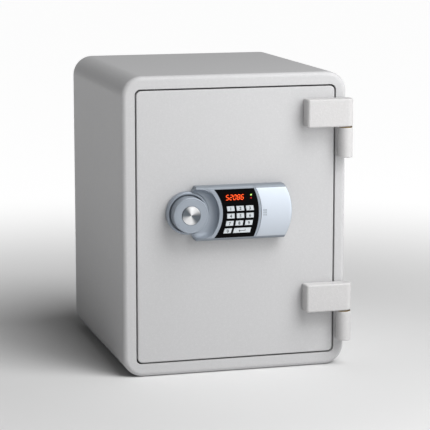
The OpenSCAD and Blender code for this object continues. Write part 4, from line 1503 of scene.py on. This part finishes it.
@dataclass
class Keypad:
    """Eleven keys with printed figures."""

    rise: float = 1.0
    figure: float = 5.6
    print_mm: float = 0.06
    soft: float = 0.3
    skirt: float = 2.3
    flange: Point2 = (3.2, 2.2)
    flange_out: float = 0.8
    stem: float = 2.0
    stem_foot: float = 14.4
    stem_sunk: float = 3.1

    def build(self) -> None:
        """Builds every key on its own body."""
        for key in Key:
            self.key(key)

    def key(self, key: Key) -> None:
        """Moulds one key, with its flange and stem, and prints its figure."""
        plan = LockPlan
        face = plan.depth + self.rise
        shape = bmesh.new()
        soft = self.soft
        top = [(0.0, face - soft), (soft * 0.3, face - soft * 0.3), (soft, face)]
        rings = []
        for inset, height in [(0.0, plan.depth - self.skirt), *top]:
            rings.append([plan.place @ (Vector((x, z, height)) * MM) for x, z in key.outline(-inset)])
        add_rings(shape, rings, capped=True)
        low, high = (plan.depth - sunk for sunk in self.flange)
        add_prism(shape, key.outline(self.flange_out), low, high, plan.place)
        stem = circle(key.centre, self.stem, 16)
        add_prism(shape, stem, self.stem_foot, plan.depth - self.stem_sunk, plan.place)
        for number, outline in self.figures(key):
            add_prism(shape, outline, face - 0.1, face + self.print_mm, plan.place, number)
        piece = new_piece(key.node.replace("_", "_cap_"), shape, KEY_TOP, INK)
        if key is not Key.ENTER:
            self.join_text(piece, key, face)
        fit(weighted(piece, 30), key.node, "key_silver", key.node)

    @staticmethod
    def figures(key: Key) -> list[tuple[int, list[Point2]]]:
        """Returns the printed outlines of a key that isn't a digit: an arrow that turns left."""
        if key is not Key.ENTER:
            return []
        x, z = key.centre
        tip, neck, end, line = x - 6.5, x - 3.6, x + 5.5, 0.8
        low, high, top, lap = z - 1.0, z - 0.2, z + 2.2, 0.1
        head = [(tip, z - 0.6), (neck, z - 2.5), (neck, z + 1.3)]
        bar = [(neck - lap, low), (end, low), (end, high), (neck - lap, high)]
        post = [(end - line, high - lap), (end, high - lap), (end, top), (end - line, top)]
        return [(1, head), (1, bar), (1, post)]

    def join_text(self, piece: bpy.types.Object, key: Key, face: float) -> None:
        """Prints a digit on a key.

        Args:
            piece: The key, which takes the digit's mesh.
            key: Which key it is.
            face: Height of its face.
        """
        curve = bpy.data.curves.new("figure", "FONT")
        curve.body = key.value[0]
        curve.size = self.figure * 1.25 * MM
        curve.extrude = self.print_mm * MM
        curve.offset = 0.16 * MM
        curve.resolution_u = 4
        curve.align_x = "CENTER"
        text = bpy.data.objects.new("figure", curve)
        bpy.context.scene.collection.objects.link(text)
        graph = bpy.context.evaluated_depsgraph_get()
        mesh = bpy.data.meshes.new_from_object(text.evaluated_get(graph))
        x, z = key.centre
        drop = self.figure * 0.45
        mesh.transform(LockPlan.place @ Matrix.Translation(Vector((x, z - drop, face)) * MM))
        shape = bmesh.new()
        shape.from_mesh(piece.data)
        count = len(shape.faces)
        shape.from_mesh(mesh)
        shape.faces.ensure_lookup_table()
        for face_of_text in shape.faces[count:]:
            face_of_text.material_index = 1
        shape.to_mesh(piece.data)
        shape.free()
        bpy.data.objects.remove(text)
        bpy.data.curves.remove(curve)
        bpy.data.meshes.remove(mesh)


# ---------------------------------------------------------------- knob


@dataclass
class Knob:
    """The round knob with its spun cap, on the spindle that turns the pinion."""

    radius: float = 29.5
    top: float = 33.0
    cap: float = 15.4
    dish: float = 2.5
    segments: int = 144
    shine: float = 0.85
    wedge_turn: float = -40.0

    def build(self) -> None:
        """Builds the knob and dresses what turns with it."""
        place = Facing.FRONT.place(LockPlan.on_door(*LockPlan.knob))
        r, top, foot, bore, hub, wall, web = self.radius, self.top, 6.0, 5.0, 9.0, 25.0, 20.0
        seat_radius, seat = self.cap + 0.25, top - self.dish
        soft, groove = 1.5, 0.25
        profile = [(bore, foot), (hub, foot), (hub, web), (wall, web), (wall, foot + 0.4)]
        profile += [(wall + 0.4, foot), (r - 0.6, foot), (r, foot + 0.6)]
        profile += arc((r - soft, top - soft), soft, 0, 90, 8)
        profile += [(r - 2.6, top), (r - 2.9, top - groove), (r - 3.4, top - groove), (r - 3.7, top)]
        profile += [(self.cap + 0.7, top), (seat_radius, top - 0.4), (seat_radius, seat), (bore, seat)]
        shape = bmesh.new()
        add_lathe(shape, profile, place, self.segments)
        fit(weighted(new_piece("knob_body", shape, SILVER)), "knob", "silver_plastic", "knob")
        self.spun_cap(place)
        coat_node(ZINC, "spindle", "pinion")

    def spun_cap(self, place: Matrix) -> None:
        """Spins the shallow metal dish that is pressed into the knob's face."""
        top = self.top - self.dish
        profile = [(0.0, top), (self.cap, top), (self.cap, top + 2.6), (self.cap - 0.25, top + 3.0)]
        profile += [(self.cap - 0.8, top + 3.15)]
        rings = 20
        for i in range(rings + 1):
            share = 1 - i / rings
            profile.append(((self.cap - 1.2) * share, top + 2.35 + 0.7 * share))
        shape = bmesh.new()
        add_lathe(shape, profile, place, self.segments)
        x, z = LockPlan.knob
        # Spun aluminium, with painted highlight and painted shade wedges that meet on its axis.
        centre = (x * MM, (LockPlan.face - self.top) * MM, z * MM)
        finish = Finish(
            "spun_aluminium", "#e2e4e6", 0.22, 1.0, Grain.SPUN, 0.35, 0.01, 0.04, 5.0, centre=centre
        )
        piece = new_piece("knob_cap_spun", shape, finish)
        self.ring_tangents(piece, finish, x, z)
        fit(weighted(piece), "knob", "spun_aluminium", "knob_cap")

    def ring_tangents(self, piece: bpy.types.Object, finish: Finish, x: float, z: float) -> None:
        """Lays a map whose U runs round the axis, so that the shine spreads across the rings.

        Args:
            piece: The cap.
            finish: Its finish.
            x: Axis of the knob in millimetres.
            z: Height of the knob's axis in millimetres.
        """
        mesh = piece.data
        layer = mesh.uv_layers.new(name="rings")
        for face in mesh.polygons:
            middle = math.atan2(face.center.z - z * MM, face.center.x - x * MM)
            for loop in face.loop_indices:
                place = mesh.vertices[mesh.loops[loop].vertex_index].co
                angle = math.atan2(place.z - z * MM, place.x - x * MM)
                radius = math.hypot(place.z - z * MM, place.x - x * MM)
                if radius < 1e-5:
                    angle = middle
                angle = middle + (angle - middle + math.pi) % (2 * math.pi) - math.pi
                layer.data[loop].uv = (angle / (2 * math.pi), radius / (20 * MM))
        tree = finish.build().node_tree
        shader = tree.nodes["Principled BSDF"]
        shader.inputs["Anisotropic"].default_value = self.shine
        self.wedges(tree, shader, finish)
        tangent = add_node(tree, "ShaderNodeTangent", direction_type="UV_MAP", uv_map="rings")
        tree.links.new(tangent.outputs["Tangent"], shader.inputs["Tangent"])

    def wedges(self, tree: bpy.types.NodeTree, shader: bpy.types.Node, finish: Finish) -> None:
        """Paints two highlight wedges and two shade wedges round the axis into the colour, whatever the
        light.

        Args:
            tree: Node tree of the cap's material.
            shader: Its principled shader.
            finish: Its finish, whose centre lies on the axis.
        """
        place = add_node(tree, "ShaderNodeTexCoord").outputs["Object"]
        centred = add_node(tree, "ShaderNodeVectorMath", {0: place, 1: finish.centre}, operation="SUBTRACT")
        split = add_node(tree, "ShaderNodeSeparateXYZ", {0: centred.outputs["Vector"]})
        sides = {0: split.outputs["Z"], 1: split.outputs["X"]}
        angle = add_node(tree, "ShaderNodeMath", sides, operation="ARCTAN2").outputs["Value"]
        doubled = {0: angle, 1: 2.0, 2: math.radians(self.wedge_turn)}
        wave = add_node(tree, "ShaderNodeMath", doubled, operation="MULTIPLY_ADD").outputs["Value"]
        swing = add_node(tree, "ShaderNodeMath", {0: wave}, operation="SINE").outputs["Value"]
        span = {"Value": swing, "From Min": -0.9, "From Max": 0.9}
        share = add_node(tree, "ShaderNodeMapRange", span, interpolation_type="SMOOTHSTEP")
        highlight_and_shade_tones = {"A": linear("#585e64"), "B": linear("#fdfdfe")}
        factor = {"Factor": share.outputs["Result"]}
        mix = add_node(tree, "ShaderNodeMix", {**factor, **highlight_and_shade_tones}, data_type="RGBA")
        tree.links.new(mix.outputs["Result"], shader.inputs["Base Color"])


# ---------------------------------------------------------------- studio


@dataclass
class Studio:
    """Pale floor, soft lights and the camera.

    Attributes:
        eye: Place of the camera in metres.
        yaw: Turn of the camera to the right, in degrees.
        pitch: Tilt of the camera down, in degrees.
        lens: Focal length in millimetres on a 36 mm sensor.
        glow: Light that the floor adds far from the safe.
        glow_from: Distance in metres at which the floor starts to glow.
        glow_to: Distance in metres at which it glows fully.
        world: Strength of the room's light.
        aim: Point that the lights face.
    """

    eye: tuple[float, float, float] = (-0.8661, -3.1864, 0.8033)
    yaw: float = 15.54
    pitch: float = 9.81
    lens: float = 159.4
    glow: float = 0.5
    glow_from: float = 0.45
    glow_to: float = 1.7
    world: float = 0.09
    aim: tuple[float, float, float] = (0.0, 0.0, 0.25)

    def build(self) -> None:
        """Sets up everything round the safe."""
        self.camera()
        self.floor()
        self.lights()

    def camera(self) -> None:
        """Places the camera."""
        data = bpy.data.cameras.new("camera")
        data.lens = self.lens
        data.sensor_width = 36.0
        data.clip_start, data.clip_end = 0.05, 50.0
        camera = bpy.data.objects.new("camera", data)
        yaw, pitch = math.radians(self.yaw), math.radians(self.pitch)
        ahead = Vector((math.sin(yaw) * math.cos(pitch), math.cos(yaw) * math.cos(pitch), -math.sin(pitch)))
        camera.location = self.eye
        camera.rotation_euler = ahead.to_track_quat("-Z", "Y").to_euler()
        bpy.context.scene.collection.objects.link(camera)
        bpy.context.scene.camera = camera

    def floor(self) -> None:
        """Lays a wide pale floor with a painted glow that grows away from the safe, leaving painted shade
        round the safe.
        """
        shape = bmesh.new()
        reach, drop = 40.0, -0.0002
        corners = [(-reach, -reach), (reach, -reach), (reach, reach), (-reach, reach)]
        shape.faces.new([shape.verts.new((x, y, drop)) for x, y in corners])
        floor = new_piece("floor", shape, FLOOR, closed=False)
        tree = FLOOR.build().node_tree
        place = add_node(tree, "ShaderNodeTexCoord").outputs["Object"]
        away = add_node(tree, "ShaderNodeVectorMath", {0: place}, operation="LENGTH")
        span = {"From Min": self.glow_from, "From Max": self.glow_to, "To Max": self.glow}
        reading = {"Value": away.outputs["Value"], **span}
        glow = add_node(tree, "ShaderNodeMapRange", reading, interpolation_type="SMOOTHSTEP")
        shader = tree.nodes["Principled BSDF"]
        shader.inputs["Emission Color"].default_value = linear("#ffffff")
        tree.links.new(glow.outputs["Result"], shader.inputs["Emission Strength"])

    def lights(self) -> None:
        """Hangs the soft lights and fills the room with pale light."""
        self.lamp("window", "SUN", (0.3, -0.44, 1.12), 2.3, math.radians(40))
        self.lamp("key", "AREA", (0.62, -1.0, 0.8), 7.6, 0.9)
        world = bpy.data.worlds.new("studio")
        world.use_nodes = True
        back = world.node_tree.nodes["Background"]
        back.inputs["Color"].default_value = linear("#ffffff")
        back.inputs["Strength"].default_value = self.world
        bpy.context.scene.world = world
        bpy.context.scene.view_settings.view_transform = "Standard"

    def lamp(
        self, name: str, kind: str, place: tuple[float, float, float], power: float, size: float
    ) -> None:
        """Hangs a soft light that points at the middle of the safe.

        Args:
            name: Name of the light.
            kind: AREA or SUN.
            place: Its place in metres.
            power: Its power in watts, or its strength if it is a sun.
            size: Its side in metres, or the angle that it fills if it is a sun.
        """
        data = bpy.data.lights.new(name, kind)
        data.energy = power
        if kind == "SUN":
            data.angle = size
        else:
            data.size = size
        lamp = bpy.data.objects.new(name, data)
        lamp.location = place
        lamp.rotation_euler = (Vector(self.aim) - lamp.location).to_track_quat("-Z", "Y").to_euler()
        bpy.context.scene.collection.objects.link(lamp)


def main() -> None:
    """Builds the safe's looks round the frame."""
    logging.basicConfig(level=logging.INFO, format="%(name)s %(message)s")
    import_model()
    for part in (Studio(), Cabinet(), Hinges(), Door(), LockCase(), Keypad(), Knob()):
        part.build()


if __name__ == "__main__":
    main()
